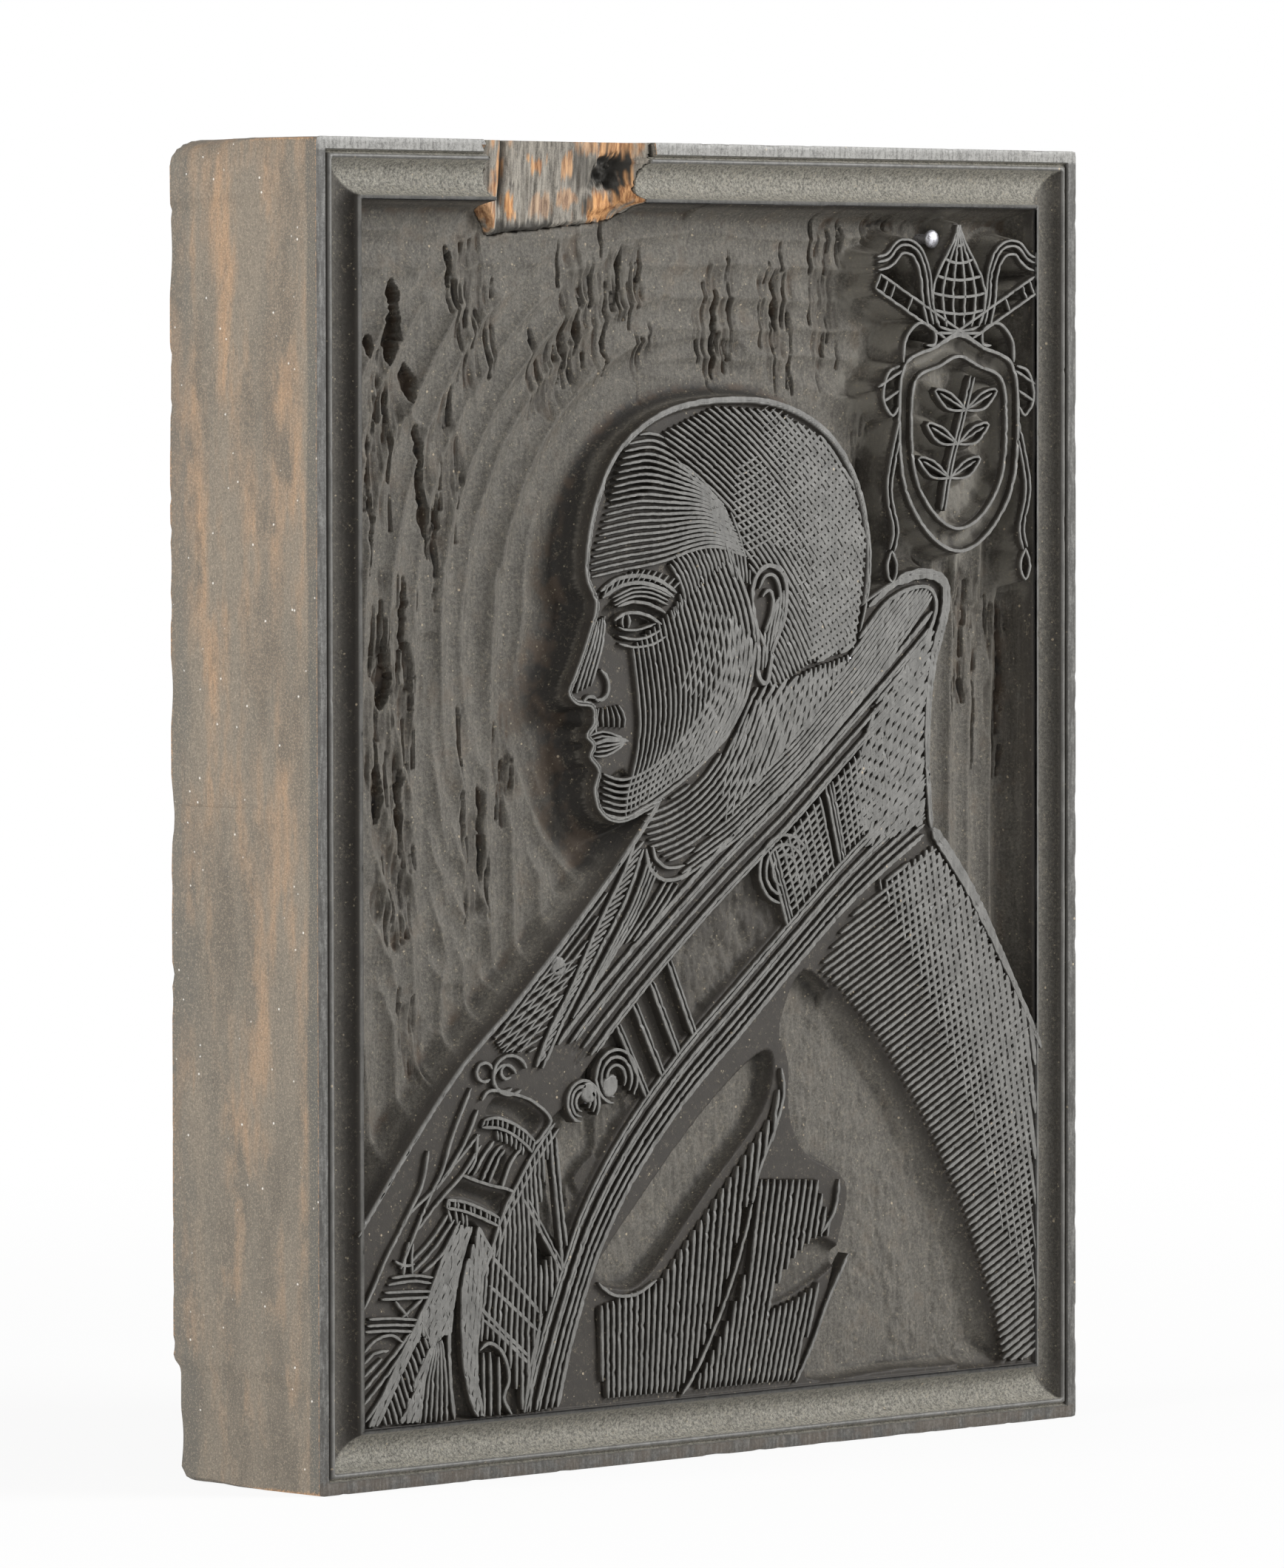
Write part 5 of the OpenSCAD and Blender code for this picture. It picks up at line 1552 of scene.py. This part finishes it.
for first, last, count in (
    (rod_top, rod_under, 12), (mount_top, mount_under, 12),
    (curve([-32.4, 31], [-30.3, 30.4], [-28.4, 29.2]), curve([-32.2, 30], [-30.2, 29.2], [-28.6, 28.2]), 7),
    (curve([-39.6, 23], [-38, 22.6], [-37, 22.2]), curve([-39.2, 21.6], [-37.8, 21.2], [-36.8, 20.8]), 4),
):
    for k in np.linspace(0, 1, count):
        i, j = int(k * (len(first) - 1)), int(k * (len(last) - 1))
        fold.add(evenly([first[i], last[j]], 0.35), 0.12, taper=0.3, lift=CROSS_LIFT)
for path in (
    curve([-36.2, 35.8], [-38.8, 31.1], [-40.5, 27.1], [-42.1, 24.8], [-44.5, 20.7], [-46.6, 17]),
    curve([-42.5, 29.4], [-43.4, 25.9], [-45.1, 23.3], [-46.3, 21.5], [-48.6, 18.4], [-50.3, 15.6],
          [-52, 13]),
    curve([-35, 30.8], [-37.8, 28.5], [-41.1, 25.6], [-45.1, 23], [-46.4, 21.6]),
    curve([-34.8, 29.6], [-37.6, 26.5], [-40.6, 24.2], [-44.4, 20.8]),
    curve([-35.2, 33.4], [-37.6, 29.4], [-41.4, 25.2]),
    curve([-39.6, 22.4], [-42.4, 19.6], [-45.2, 17.6]), curve([-38.8, 21.8], [-41.8, 18.8], [-44.8, 16.6]),
    curve([-37.9, 21.6], [-40.6, 18.2], [-43.4, 16.4]), curve([-45.4, 19.8], [-46, 17.8], [-46.2, 16.2]),
    curve([-44.8, 19.6], [-45, 17.8], [-44.9, 16.2]), curve([-47.4, 17.9], [-46, 17.3], [-44.6, 17.4]),
    curve([-47.9, 16.1], [-45, 16.2], [-41.9, 15.8]), curve([-48.4, 15.4], [-45, 15.6], [-42.2, 15.2]),
    curve([-48.9, 14.6], [-45.4, 14.5], [-42, 14.3]), curve([-49.4, 13.9], [-45.6, 13.8], [-42.4, 13.7]),
    curve([-51.2, 11.9], [-48, 11.8], [-44.2, 11.4]), curve([-51.5, 11.2], [-48, 11.1], [-44.4, 10.8]),
    curve([-51.8, 10.6], [-48.4, 10.5], [-44.9, 10.2]),
    curve([-52, 8.4], [-50.3, 9.6], [-48, 10], [-46.3, 9.1]), curve([-52, 7.2], [-50.4, 8.2], [-48.4, 8.4]),
    curve([-52, 4.4], [-47.7, 7.8], [-45.3, 10]), curve([-52, 2.9], [-48.6, 5.8], [-46.5, 8]),
    curve([-51.8, 1], [-49.6, 3.2], [-48.2, 5]), curve([-52, 5.8], [-49.4, 7.6]),
    curve([-47.4, 13.6], [-46.6, 12.8], [-45.6, 11.8]), curve([-43.4, 13.6], [-45, 12.6], [-46.4, 11.8]),
):
    fold.add(path, 0.13, taper=0.6)
strap = np.array([
    [-38.2, 21.3], [-40.5, 17.6], [-42.5, 13.6], [-46.3, 8.1], [-49.1, 3.8], [-51.2, 0.4],
    [-50, 0.4], [-47.8, 4], [-45.4, 7.6], [-43.4, 9.8], [-42.4, 8.4], [-43.6, 6.7], [-45.2, 3.4],
    [-47, 0.4], [-44.2, 0.4], [-43.6, 4.6],
    [-42, 8.6], [-40.6, 9.4], [-39.5, 9.4], [-39.1, 12.4], [-38.2, 16.1], [-37, 19.3], [-36.2, 20.9],
])
tail = np.array([
    [-35.2, 20.8], [-34.4, 19.6], [-33.2, 18], [-34.6, 15.6], [-35, 11.5], [-35.6, 7.5],
    [-35.4, 3.6], [-34.6, 0.4],
    [-35.3, 0.4], [-36.4, 2.6], [-37.3, 6.1], [-37.6, 10.4], [-37.5, 14.4], [-36.8, 17.3],
])
for zone, lean in ((strap, 57), (tail, 84)):
    rows = clipped(ruled(zone.mean(0), lean, 0.62, 26, 40), zone, least=5)
    fold.add_all(rows, 0.25, taper=0.3)
    rows = clipped(ruled(zone.mean(0), lean + 32, 1.05, 26, 40), zone, least=5)
    fold.add_all(rows, 0.36, taper=0.3, lift=CROSS_LIFT)
    edges = [zone[:6], zone[14:18], zone[18:]] if zone is strap else [zone[:8], zone[8:]]
    fold.add_all(edges, 0.2, taper=0.3)
ladder = np.array([
    [-50, 0.4], [-47.8, 4], [-45.4, 7.6], [-43.4, 9.8], [-42.4, 8.4], [-43.6, 6.7], [-45.2, 3.4],
    [-47, 0.4],
])
fold.add_all(clipped(ruled((-46, 4), 112, 0.78, 12, 12), ladder, least=5), 0.12, taper=0.4)
fold.add_all(clipped(ruled((-41, 12), 120, 0.9, 4, 5), strap, least=5), 0.1)
fold.add(curve([-38.8, 14.4], [-39.5, 10.4], [-39.5, 6.4], [-39.2, 2.9], [-38.7, 0.3]), 0.2, foot=1.8)
flutes = between([[-43.9, 0.3], [-43.2, 5], [-41.8, 8.6]], [[-39.9, 0.3], [-40, 4.6], [-40.6, 9]], 6)
fold.add_all(flutes, 0.13)
clasp_low = curve([-23.8, 31.4], [-26.8, 28.4], [-29.9, 24.4], [-31.6, 21.8], [-33.4, 17.8])
lean_line = curve([-25.7, 10.6], [-26.4, 8.7], [-27.6, 4.9], [-28.4, 0.3])
folds_zone = np.vstack([clasp_low, [[-34.8, 15.6], [-35.2, 11.4], [-35.4, 8.4], [-33.4, 8.6]],
                        [[-30.9, 6.4], [-28.6, 0.3]], lean_line[::-1],
                        [[-25.2, 11], [-22.4, 15.4], [-21.4, 20], [-21.6, 26]]])
uprights = between(
    [[-34.8, 0.3], [-34.8, 9], [-33.4, 20], [-33.6, 33]],
    [[-22.6, 0.3], [-22.6, 15], [-24, 25], [-24.6, 33]], 15,
)
fold.add_all(clipped(uprights, folds_zone, FOLD_HOLLOW), 0.15)
fold.add(clasp_low, 0.17, foot=1.2)
fold.add(offset(evenly(clasp_low, 0.5), 0.9), 0.14, foot=1.2)
for path in (
    [[-33.3, 17.6], [-29.4, 14], [-25.7, 10.7]], [[-33.6, 14.4], [-29.8, 11.6], [-26.4, 9]],
    [[-35.4, 12.4], [-31.4, 9.2], [-27.6, 6.2]], [[-34.5, 10.8], [-31, 8.2], [-27.7, 5.5]],
):
    fold.add(smooth(path), 0.19, foot=0.9, lift=CROSS_LIFT)
arch = curve([-35, 7.5], [-33.6, 8.2], [-31.9, 7.3], [-30.9, 5.5], [-30.7, 3.8], [-31.5, 2.1], [-30.3, 0.3])
fold.add(arch, 0.17, foot=1.1)
for x in (-34.4, -33.4, -32.1):
    fold.add(evenly([[x, 0.3], [x - 0.1, 7.2 if x < -33 else 6.6]], 0.4), 0.13)
fold.add(lean_line, 0.18, foot=1.2)
fold.add(curve([-26, 9], [-27.2, 5], [-27.6, 0.3]), 0.13)
fold.add(curve([-24.4, 29.6], [-23.4, 22], [-22.6, 16]), 0.15)
fold.add(curve([-23.6, 29.8], [-22.8, 23], [-22, 18]), 0.15)
fold.build("lines_clasp", ink)

# %% [markdown]
# The badge is the finest part: single lines, most of them thinner than the hatching, that stand
# over deep ground on walls of their own.

# %% Lines of the badge
emblem = Lines()
for path, half in crest:
    emblem.add(path, half, foot=1.05, taper=0.35)
emblem.build("lines_badge", ink)

# %% [markdown]
# The plank behind the carving is one sawn and planed piece. It starts as a cube without its
# front, its back corners are bevelled, and its long edges are divided so that it can be dented.
# The open front is then drawn inwards loop by loop: over the flat rim, down the V cut and back
# into a pocket that holds the tiles.

# %% The plank
def coordinates(mesh):
    return values_of(mesh.vertices, "co", 3) / MM


def set_coordinates(mesh, co):
    mesh.vertices.foreach_set("co", (co * MM).ravel())
    mesh.update()


def select_edges(mesh, chosen):
    """Selects the edges for which the test holds, given their ends and their spans in mm."""
    mode("EDIT")
    bpy.ops.mesh.select_mode(type="EDGE")
    bpy.ops.mesh.select_all(action="DESELECT")
    mode("OBJECT")
    a, b = coordinates(mesh)[values_of(mesh.edges, "vertices", 2, int).T]
    mesh.edges.foreach_set("select", chosen((a + b) / 2, np.abs(b - a)))
    mode("EDIT")


def plank_shape():
    clear_selection()
    bpy.ops.mesh.primitive_cube_add(size=1)
    piece = bpy.context.object
    piece.name = piece.data.name = "plank"
    mesh = piece.data
    middle = (wood_low + wood_high) / 2
    mesh.transform(Matrix.Translation(middle) @ Matrix.Diagonal((*(wood_high - wood_low), 1)))
    for axis, offset_mm in ((0, 2.2), (2, 1.2)):
        def back(mid, span):
            return (mid[:, 1] > HALF_T - 0.01) & (span[:, axis] > 50)
        select_edges(mesh, back)
        bpy.ops.mesh.bevel(offset=offset_mm * MM, segments=5, affect="EDGES")
        mode("OBJECT")
    mode("EDIT")
    bpy.ops.mesh.select_mode(type="FACE")
    bpy.ops.mesh.select_all(action="DESELECT")
    mode("OBJECT")
    for polygon in mesh.polygons:
        polygon.select = polygon.normal.y < -0.99
    mode("EDIT")
    bpy.ops.mesh.delete(type="FACE")
    mode("OBJECT")
    for axis, cuts in ((0, (13, 11)), (2, (14, 13)), (1, (30,))):
        for number in cuts:
            def along(mid, span):
                upright = span.sum(1) - span[:, axis] < 0.02
                return (span[:, axis] > (1.4 if axis == 1 else 0.7)) & upright
            select_edges(mesh, along)
            bpy.ops.mesh.subdivide(number_cuts=number)
            mode("OBJECT")
    return piece


def close_front(mesh):
    rim_loops = [(0.22, 0), (0.6, 0), (1.0, 0), (RIM_W, 0), (SEAM, VEE_D), (SEAM, POCKET)]
    select_edges(mesh, lambda mid, span: mid[:, 1] < FACE_Y + 0.001)
    mode("OBJECT")
    grown = 0
    for inset, deep in rim_loops:
        start = len(mesh.vertices)
        mode("EDIT")
        bpy.ops.mesh.extrude_edges_move(TRANSFORM_OT_translate={"value": (0, 0, 0)})
        mode("OBJECT")
        co = coordinates(mesh)
        ring = co[start:]
        ring[:, 0] *= (HALF_W - inset) / (HALF_W - grown)
        ring[:, 2] = TOP_Z / 2 + (ring[:, 2] - TOP_Z / 2) * (TOP_Z / 2 - inset) / (TOP_Z / 2 - grown)
        ring[:, 1] = FACE_Y + deep
        set_coordinates(mesh, co)
        grown = inset
    mode("EDIT")
    bpy.ops.mesh.edge_face_add()
    mode("OBJECT")


plank_piece = plank_shape()
close_front(plank_piece.data)
print("plank faces:", len(plank_piece.data.polygons))

# %% [markdown]
# Where the top edge broke, the split followed the grain: long upright fibres, a narrow split at
# the left, a dark hole, and a sloping wall at the right. The break is its own piece of relief,
# set into the gap that was left for it in the tiles and in the rim.

# %% The broken edge
def soft_noise(x, z, cell_x, cell_z, seed):
    """Random relief at any points, in layers of cells."""
    table = np.random.default_rng(seed).uniform(-1, 1, (64, 64))
    u, v = x / cell_x + 31.7, z / cell_z + 17.3
    i, j = np.floor(u).astype(int), np.floor(v).astype(int)
    a, b = eased(u - i), eased(v - j)
    low = table[j % 64, i % 64] * (1 - a) + table[j % 64, (i + 1) % 64] * a
    high = table[(j + 1) % 64, i % 64] * (1 - a) + table[(j + 1) % 64, (i + 1) % 64] * a
    return low * (1 - b) + high * b


def ring_gap(ring, x, z):
    """The distance inside a closed outline, negative outside it."""
    best = np.full(x.shape, 99.0)
    for (ax, az), (bx, bz) in zip(ring, np.roll(ring, -1, axis=0)):
        dx, dz = bx - ax, bz - az
        t = np.clip(((x - ax) * dx + (z - az) * dz) / (dx * dx + dz * dz), 0, 1)
        best = np.minimum(best, np.hypot(x - ax - t * dx, z - az - t * dz))
    inside = contains(ring, np.column_stack([x.ravel(), z.ravel()])).reshape(x.shape)
    return np.where(inside, best, -best)


def sampled(field, x, z):
    """The values of a field of the face at any points."""
    columns = np.clip(np.interp(x, xs, np.arange(len(xs))), 0, len(xs) - 1.001)
    rows = np.clip(np.interp(z, zs, np.arange(len(zs))), 0, len(zs) - 1.001)
    i, j = columns.astype(int), rows.astype(int)
    a, b = columns - i, rows - j
    low = field[j, i] * (1 - a) + field[j, i + 1] * a
    high = field[j + 1, i] * (1 - a) + field[j + 1, i + 1] * a
    return low * (1 - b) + high * b


# Each row is a patch of fresh wood in the break: its middle across and down, its half sizes
# and its strength.
FRESH_PATCHES = [
    (0.38, 0.70, 0.10, 0.24, 1.0), (0.49, 0.45, 0.05, 0.34, 0.9), (0.42, 0.08, 0.13, 0.17, 0.8),
    (-0.03, 0.26, 0.05, 0.13, 0.8), (-0.20, 0.70, 0.05, 0.17, 1.0), (0.16, 0.28, 0.045, 0.17, 0.7),
    (-0.285, 0.36, 0.03, 0.3, 0.8), (-0.37, 0.82, 0.06, 0.2, 0.7), (0.0, 0.68, 0.08, 0.15, 0.35),
    (0.15, 0.62, 0.06, 0.14, 0.45), (0.27, 0.06, 0.06, 0.12, 0.5),
]


def broken_edge():
    columns = np.linspace(chip_ring[:, 0].min() - 0.6, chip_ring[:, 0].max() + 0.6, 190)
    rows = np.linspace(chip_top - CHIP_H - 0.9, TOP_Z - BORDER_W - 0.03, 94)
    x, z = np.meshgrid(columns, rows)
    across = (x - CHIP_MID) / CHIP_W
    low = (chip_top - z) / CHIP_H
    gap = ring_gap(chip_ring, x, z)
    fibres = soft_noise(x, z, 0.35, 4.5, 71) * 0.10 + soft_noise(x, z, 0.9, 7, 72) * 0.16
    fibres += soft_noise(x, z, 0.2, 1.2, 73) * 0.05 + soft_noise(x, z, 2.6, 9, 74) * 0.22
    deep = CHIP_D + 0.9 * low + fibres
    split = np.exp(-(((across + 0.26) / 0.026) ** 2)) * (0.7 + 0.5 * soft_noise(x, z, 1, 2.5, 75))
    deep = deep + split * 0.9 - 0.6 * np.exp(-(((across + 0.34) / 0.05) ** 2))
    bent_x = across - 0.41 + 0.035 * soft_noise(x, z, 0.8, 0.8, 93)
    bent_low = low - 0.34 + 0.5 * bent_x + 0.05 * soft_noise(x, z, 0.7, 0.7, 94)
    hole = np.exp(-((bent_x / 0.12) ** 2) - ((bent_low / 0.17) ** 2))
    pitted = 1 + 0.35 * soft_noise(x, z, 0.6, 0.6, 76) + 0.2 * soft_noise(x, z, 0.3, 0.3, 70)
    deep = deep + eased(hole * 1.3 - 0.15) * 1.15 * pitted
    wall = np.where(across > 0.3, 2.2, 0.6) + 0.3 * soft_noise(x, z, 1.1, 1.6, 77)
    rise = 1 - np.clip(gap / wall, 0, 1)
    around = sampled(uncut, x, z)
    deep = np.where(low > 0.62, deep, np.maximum(deep, around))
    deep = around + (deep - around) * (1 - rise ** np.where(across > 0.3, 1.4, 2.6))
    ragged = 0.16 * soft_noise(x, z, 0.5, 0.5, 78)
    deep = np.where(gap > ragged, np.maximum(deep, 0.02), CHIP_FOOT_D + 1.4)
    ragged_x = across + 0.03 * soft_noise(x, z, 1.1, 2.2, 79) + 0.014 * soft_noise(x, z, 0.3, 1.6, 91)
    thready = 0.8 * soft_noise(x, z, 0.26, 2.4, 80) + 0.6 * soft_noise(x, z, 0.9, 1.5, 92)
    fresh = np.zeros(x.shape)
    for mid_x, mid_low, wide, tall, amount in FRESH_PATCHES:
        patch = 1 - np.hypot((ragged_x - mid_x) / wide, (low - mid_low) / tall)
        fresh = np.maximum(fresh, amount * eased(patch * 2.2 + thready))
    black = np.maximum(eased(hole * 2.6 - 0.5 + thready * 0.9), eased(split * 1.9 - 0.5))
    lobe = 1 - np.hypot((ragged_x - 0.28) / 0.06, (low - 0.66) / 0.14)
    black = np.maximum(black, 0.7 * eased(lobe * 2 + thready))
    black = np.maximum(black, 0.85 * eased((low - 0.86) / 0.08 + 0.9 * thready) * (across > -0.28))
    cloud = 1 - np.hypot((ragged_x - 0.24) / 0.17, (low - 0.3) / 0.28)
    black = np.maximum(black, 0.6 * eased(cloud * 1.6 + thready * 0.8) * (1 - fresh))
    facing = facing_of(deep, rows, columns)
    carved_slab("broken_edge", columns, rows, deep, facing, None, raw, fresh=fresh, black=black)


broken_edge()

# %% [markdown]
# The pins are soft metal. The one beside the badge still has its round head. The others were
# clipped off flush and hammered, so their ends are spread, dented and bright.


# %% Pins
def pin(node, head_r, flat, shank_share, dented, seed):
    low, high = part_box(node)
    middle = (low + high) / 2
    length = (high.y - low.y) / MM
    shank = min(high.x - low.x, high.z - low.z) / MM * shank_share
    clear_selection()
    bpy.ops.mesh.primitive_uv_sphere_add(segments=40, ring_count=24, radius=head_r * MM)
    head = bpy.context.object
    bpy.ops.mesh.primitive_cylinder_add(vertices=32, radius=shank * MM, depth=(length - flat) * MM)
    stem = bpy.context.object
    stem.rotation_euler = (math.pi / 2, 0, 0)
    stem.location = (0, flat / 2 * MM + length / 2 * MM, 0)
    head.scale = (1, flat / head_r, 1)
    head.location = (0, flat * MM, 0)
    head.select_set(True)
    bpy.context.view_layer.objects.active = head
    bpy.ops.object.transform_apply(location=True, rotation=True, scale=True)
    bpy.ops.object.join()
    head.name = head.data.name = node + "_metal"
    co = coordinates(head.data)
    top = co[:, 1] < flat * 1.6
    dents = soft_noise(co[:, 0] + seed, co[:, 2], 0.55, 0.55, seed) * 0.5
    dents += soft_noise(co[:, 0], co[:, 2] + seed, 0.24, 0.24, seed + 1) * 0.3
    co[:, 1] += np.where(top, (dents + 0.6) * 0.26 * dented * np.clip(1.2 - co[:, 1] / flat, 0, 1), 0)
    turn = np.arctan2(co[:, 2], co[:, 0])
    burr = 1 + dented * (0.10 * np.sin(3 * turn + seed) + 0.06 * np.sin(7 * turn + seed * 2))
    co[:, 0] *= np.where(top, burr, 1)
    co[:, 2] *= np.where(top, burr, 1)
    co[:, 1] = np.maximum(co[:, 1], 0) + low.y / MM
    co[:, 0] += middle.x / MM
    co[:, 2] += middle.z / MM
    set_coordinates(head.data, co)
    clear_selection()
    head.select_set(True)
    bpy.ops.object.shade_smooth_by_angle(angle=math.radians(50))
    dress(head, steel)
    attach(head, body)
    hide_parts(node)
    print(head.name, "triangles:", triangles(head.data))


# Each row is the node, the radius and height of the head, the shank's radius as a share of the
# solid's width, how far the head is dented, and a seed.
for row in (
    ("crest_pin", 1.04, 0.62, 0.27, 0.15, 5), ("shoulder_pin", 1.0, 0.3, 0.47, 1, 8),
    ("band_pin_left", 1.05, 0.32, 0.47, 1, 13), ("band_pin_right", 0.85, 0.3, 0.47, 1, 21),
    ("collar_pin", 0.7, 0.2, 0.47, 1, 34),
):
    pin(*row)

# %% [markdown]
# Long handling has rounded the block. Its back corners are worn round, the upright edge at the
# back left is nibbled, and the surfaces are not quite flat. All of this only takes wood away.


# %% Wear on the plank
def wear(piece):
    co = coordinates(piece.data)
    x, y, z = co.T.copy()
    outside = (np.abs(x) > HALF_W - 1.0) | (z < 1.0) | (z > TOP_Z - 1.0) | (y > FACE_Y + POCKET + 0.5)
    side, back, front = HALF_W - np.abs(x), HALF_T - y, y - FACE_Y
    end = np.minimum(z, TOP_Z - z)
    swell = 0.035 + 0.035 * soft_noise(y * 1.3, z, 5, 14, 81) + 0.012 * soft_noise(y, z, 0.8, 3, 82)
    face_x = outside & (side < 0.4) & (front > 0.4)
    x -= np.sign(x) * np.where(face_x, np.abs(swell), 0)
    face_z = outside & (end < 0.4) & (front > 0.4)
    rub = np.abs(0.05 + 0.05 * soft_noise(x, y, 8, 6, 83) + 0.02 * soft_noise(x, y, 1.5, 1, 84))
    z += np.where(z < TOP_Z / 2, 1, -1) * np.where(face_z, rub, 0)
    y -= np.where(outside & (back < 0.4), np.abs(0.04 + 0.04 * soft_noise(x, z, 9, 16, 85)), 0)
    corner = 0.5 + (2.8 + 0.5 * soft_noise(y, y, 3, 3, 86)) * eased((y + 4) / 14)
    for sign, top, grow in ((-1, True, 1.0), (-1, False, 0.6), (1, True, 0.7), (1, False, 0.7)):
        radius = corner * grow
        mid_x = sign * (HALF_W - radius)
        mid_z = TOP_Z - radius if top else radius
        beyond = outside & ((x - mid_x) * sign > 0) & (((z - mid_z) > 0) if top else ((z - mid_z) < 0))
        reach = np.hypot(x - mid_x, z - mid_z)
        pull = np.where(beyond & (reach > radius), radius / np.maximum(reach, 1e-9), 1)
        x, z = mid_x + (x - mid_x) * pull, mid_z + (z - mid_z) * pull
    nibble = np.clip(soft_noise(z * 0, z, 1, 6.7, 87) - 0.35, 0, 1) * 0.45
    nibble += np.clip(soft_noise(z * 0, z, 1, 1.9, 88) - 0.45, 0, 1) * 0.5 + 0.08
    nibble += 0.7 * eased((13.5 - z) / 1.6)
    near = eased(1 - (np.maximum(side, 0) + back) / 3.2) * (x < 0) * outside
    x += nibble * near
    y -= nibble * near * 0.6
    small = np.clip(soft_noise(x + y, z, 1.6, 1.6, 89) - 0.45, 0, 1) * 0.5 + 0.03
    rim_edge = outside & (front < 0.5) & (np.minimum(side, end) < 0.15)
    y += np.where(rim_edge, small * 0.5 + 0.05, 0)
    x -= np.sign(x) * np.where(rim_edge & (side < 0.15), small * 0.5, 0)
    z += np.where(z < TOP_Z / 2, 1, -1) * np.where(rim_edge & (end < 0.15), small * 0.5, 0)
    in_gap = (x > chip_ring[:, 0].min() + 0.1) & (x < chip_ring[:, 0].max() - 0.1) & (z > TOP_Z - SEAM - 0.1)
    sunk = FACE_Y + CHIP_D + CHIP_UNDER
    y = np.where(in_gap & (y < sunk), sunk + (y - FACE_Y) * 0.02, y)
    set_coordinates(piece.data, np.column_stack([x, y, z]))


wear(plank_piece)
clear_selection()
plank_piece.select_set(True)
bpy.context.view_layer.objects.active = plank_piece
mode("EDIT")
bpy.ops.mesh.select_all(action="SELECT")
bpy.ops.mesh.normals_make_consistent(inside=False)
mode("OBJECT")
bpy.ops.object.shade_smooth_by_angle(angle=math.radians(38))
dress(plank_piece, plank, ink)
middles = values_of(plank_piece.data.polygons, "center", 3) / MM
on_rim = (middles[:, 1] < FACE_Y + 0.55) & (np.abs(middles[:, 0]) < HALF_W - 0.1) & (middles[:, 2] > 0.1)
on_rim &= middles[:, 2] < TOP_Z - 0.1
plank_piece.data.polygons.foreach_set("material_index", on_rim.astype(int))
ride_with_block(plank_piece, "wood_block")
print("faces on the rim:", int(on_rim.sum()))

# %% [markdown]
# The photograph was taken on white, with a large soft lamp at the right. A weaker one at the
# left lights the block's side. The floor and the backdrop are white to the camera, and near the
# block the floor keeps a trace of its shade.

# %% Floor, lamps and room
# How much of the white surroundings shows in mirrored rays.
REFLECTED = 0.6


def seen_directly(tree, camera_share=1.0):
    """How far a ray shows the white surroundings: camera, mirror and glass rays do."""
    path = tree.nodes.new("ShaderNodeLightPath")
    seen = Shade(path.outputs["Is Camera Ray"]) * camera_share
    seen = seen.at_least(Shade(path.outputs["Is Glossy Ray"]) * REFLECTED)
    return seen.at_least(Shade(path.outputs["Is Transmission Ray"]))


def room_floor():
    clear_selection()
    bpy.ops.mesh.primitive_plane_add(size=6)
    floor = bpy.context.object
    floor.name = floor.data.name = "floor"
    material, surface, place = new_material("floor_white")
    tree = surface.id_data
    surface.inputs["Base Color"].default_value = (0.82, 0.82, 0.82, 1)
    surface.inputs["Roughness"].default_value = 0.9
    glow = tree.nodes.new("ShaderNodeEmission")
    glow.inputs["Strength"].default_value = 1.0
    away = (place.part(0) * place.part(0) + place.part(1) * place.part(1)).math("SQRT")
    seen = seen_directly(tree, away.rise(110, 420) * 0.1 + 0.9)
    mixed = tree.nodes.new("ShaderNodeMixShader")
    tree.links.new(seen.socket, mixed.inputs[0])
    tree.links.new(surface.outputs[0], mixed.inputs[1])
    tree.links.new(glow.outputs[0], mixed.inputs[2])
    tree.links.new(mixed.outputs[0], tree.nodes["Material Output"].inputs["Surface"])
    dress(floor, material)
    return floor


def lamp(name, place, aim, size, watts, colour=(1, 1, 1)):
    clear_selection()
    place, aim = Vector(place), Vector(aim)
    turn = (aim - place).to_track_quat("-Z", "Y").to_euler()
    bpy.ops.object.light_add(type="AREA", location=place, rotation=turn)
    made = bpy.context.object
    made.name = name
    made.data.size = size
    made.data.energy = watts
    made.data.color = colour
    return made


floor = room_floor()
block_middle = (0, 0, 0.072)
lamp("key", (0.62, -0.75, 0.55), block_middle, 0.5, 12)
lamp("side", (-1.0, 0.10, 0.30), block_middle, 0.6, 10.5, (1.0, 0.98, 0.95))


def room_light():
    world = bpy.data.worlds.new("room")
    scene.world = world
    world.use_nodes = True
    tree = world.node_tree
    background = tree.nodes["Background"]
    seen = seen_directly(tree)
    tree.links.new(seen.rise(0, 1).tint((0.35, 0.35, 0.35), (1, 1, 1)).socket, background.inputs["Color"])


room_light()
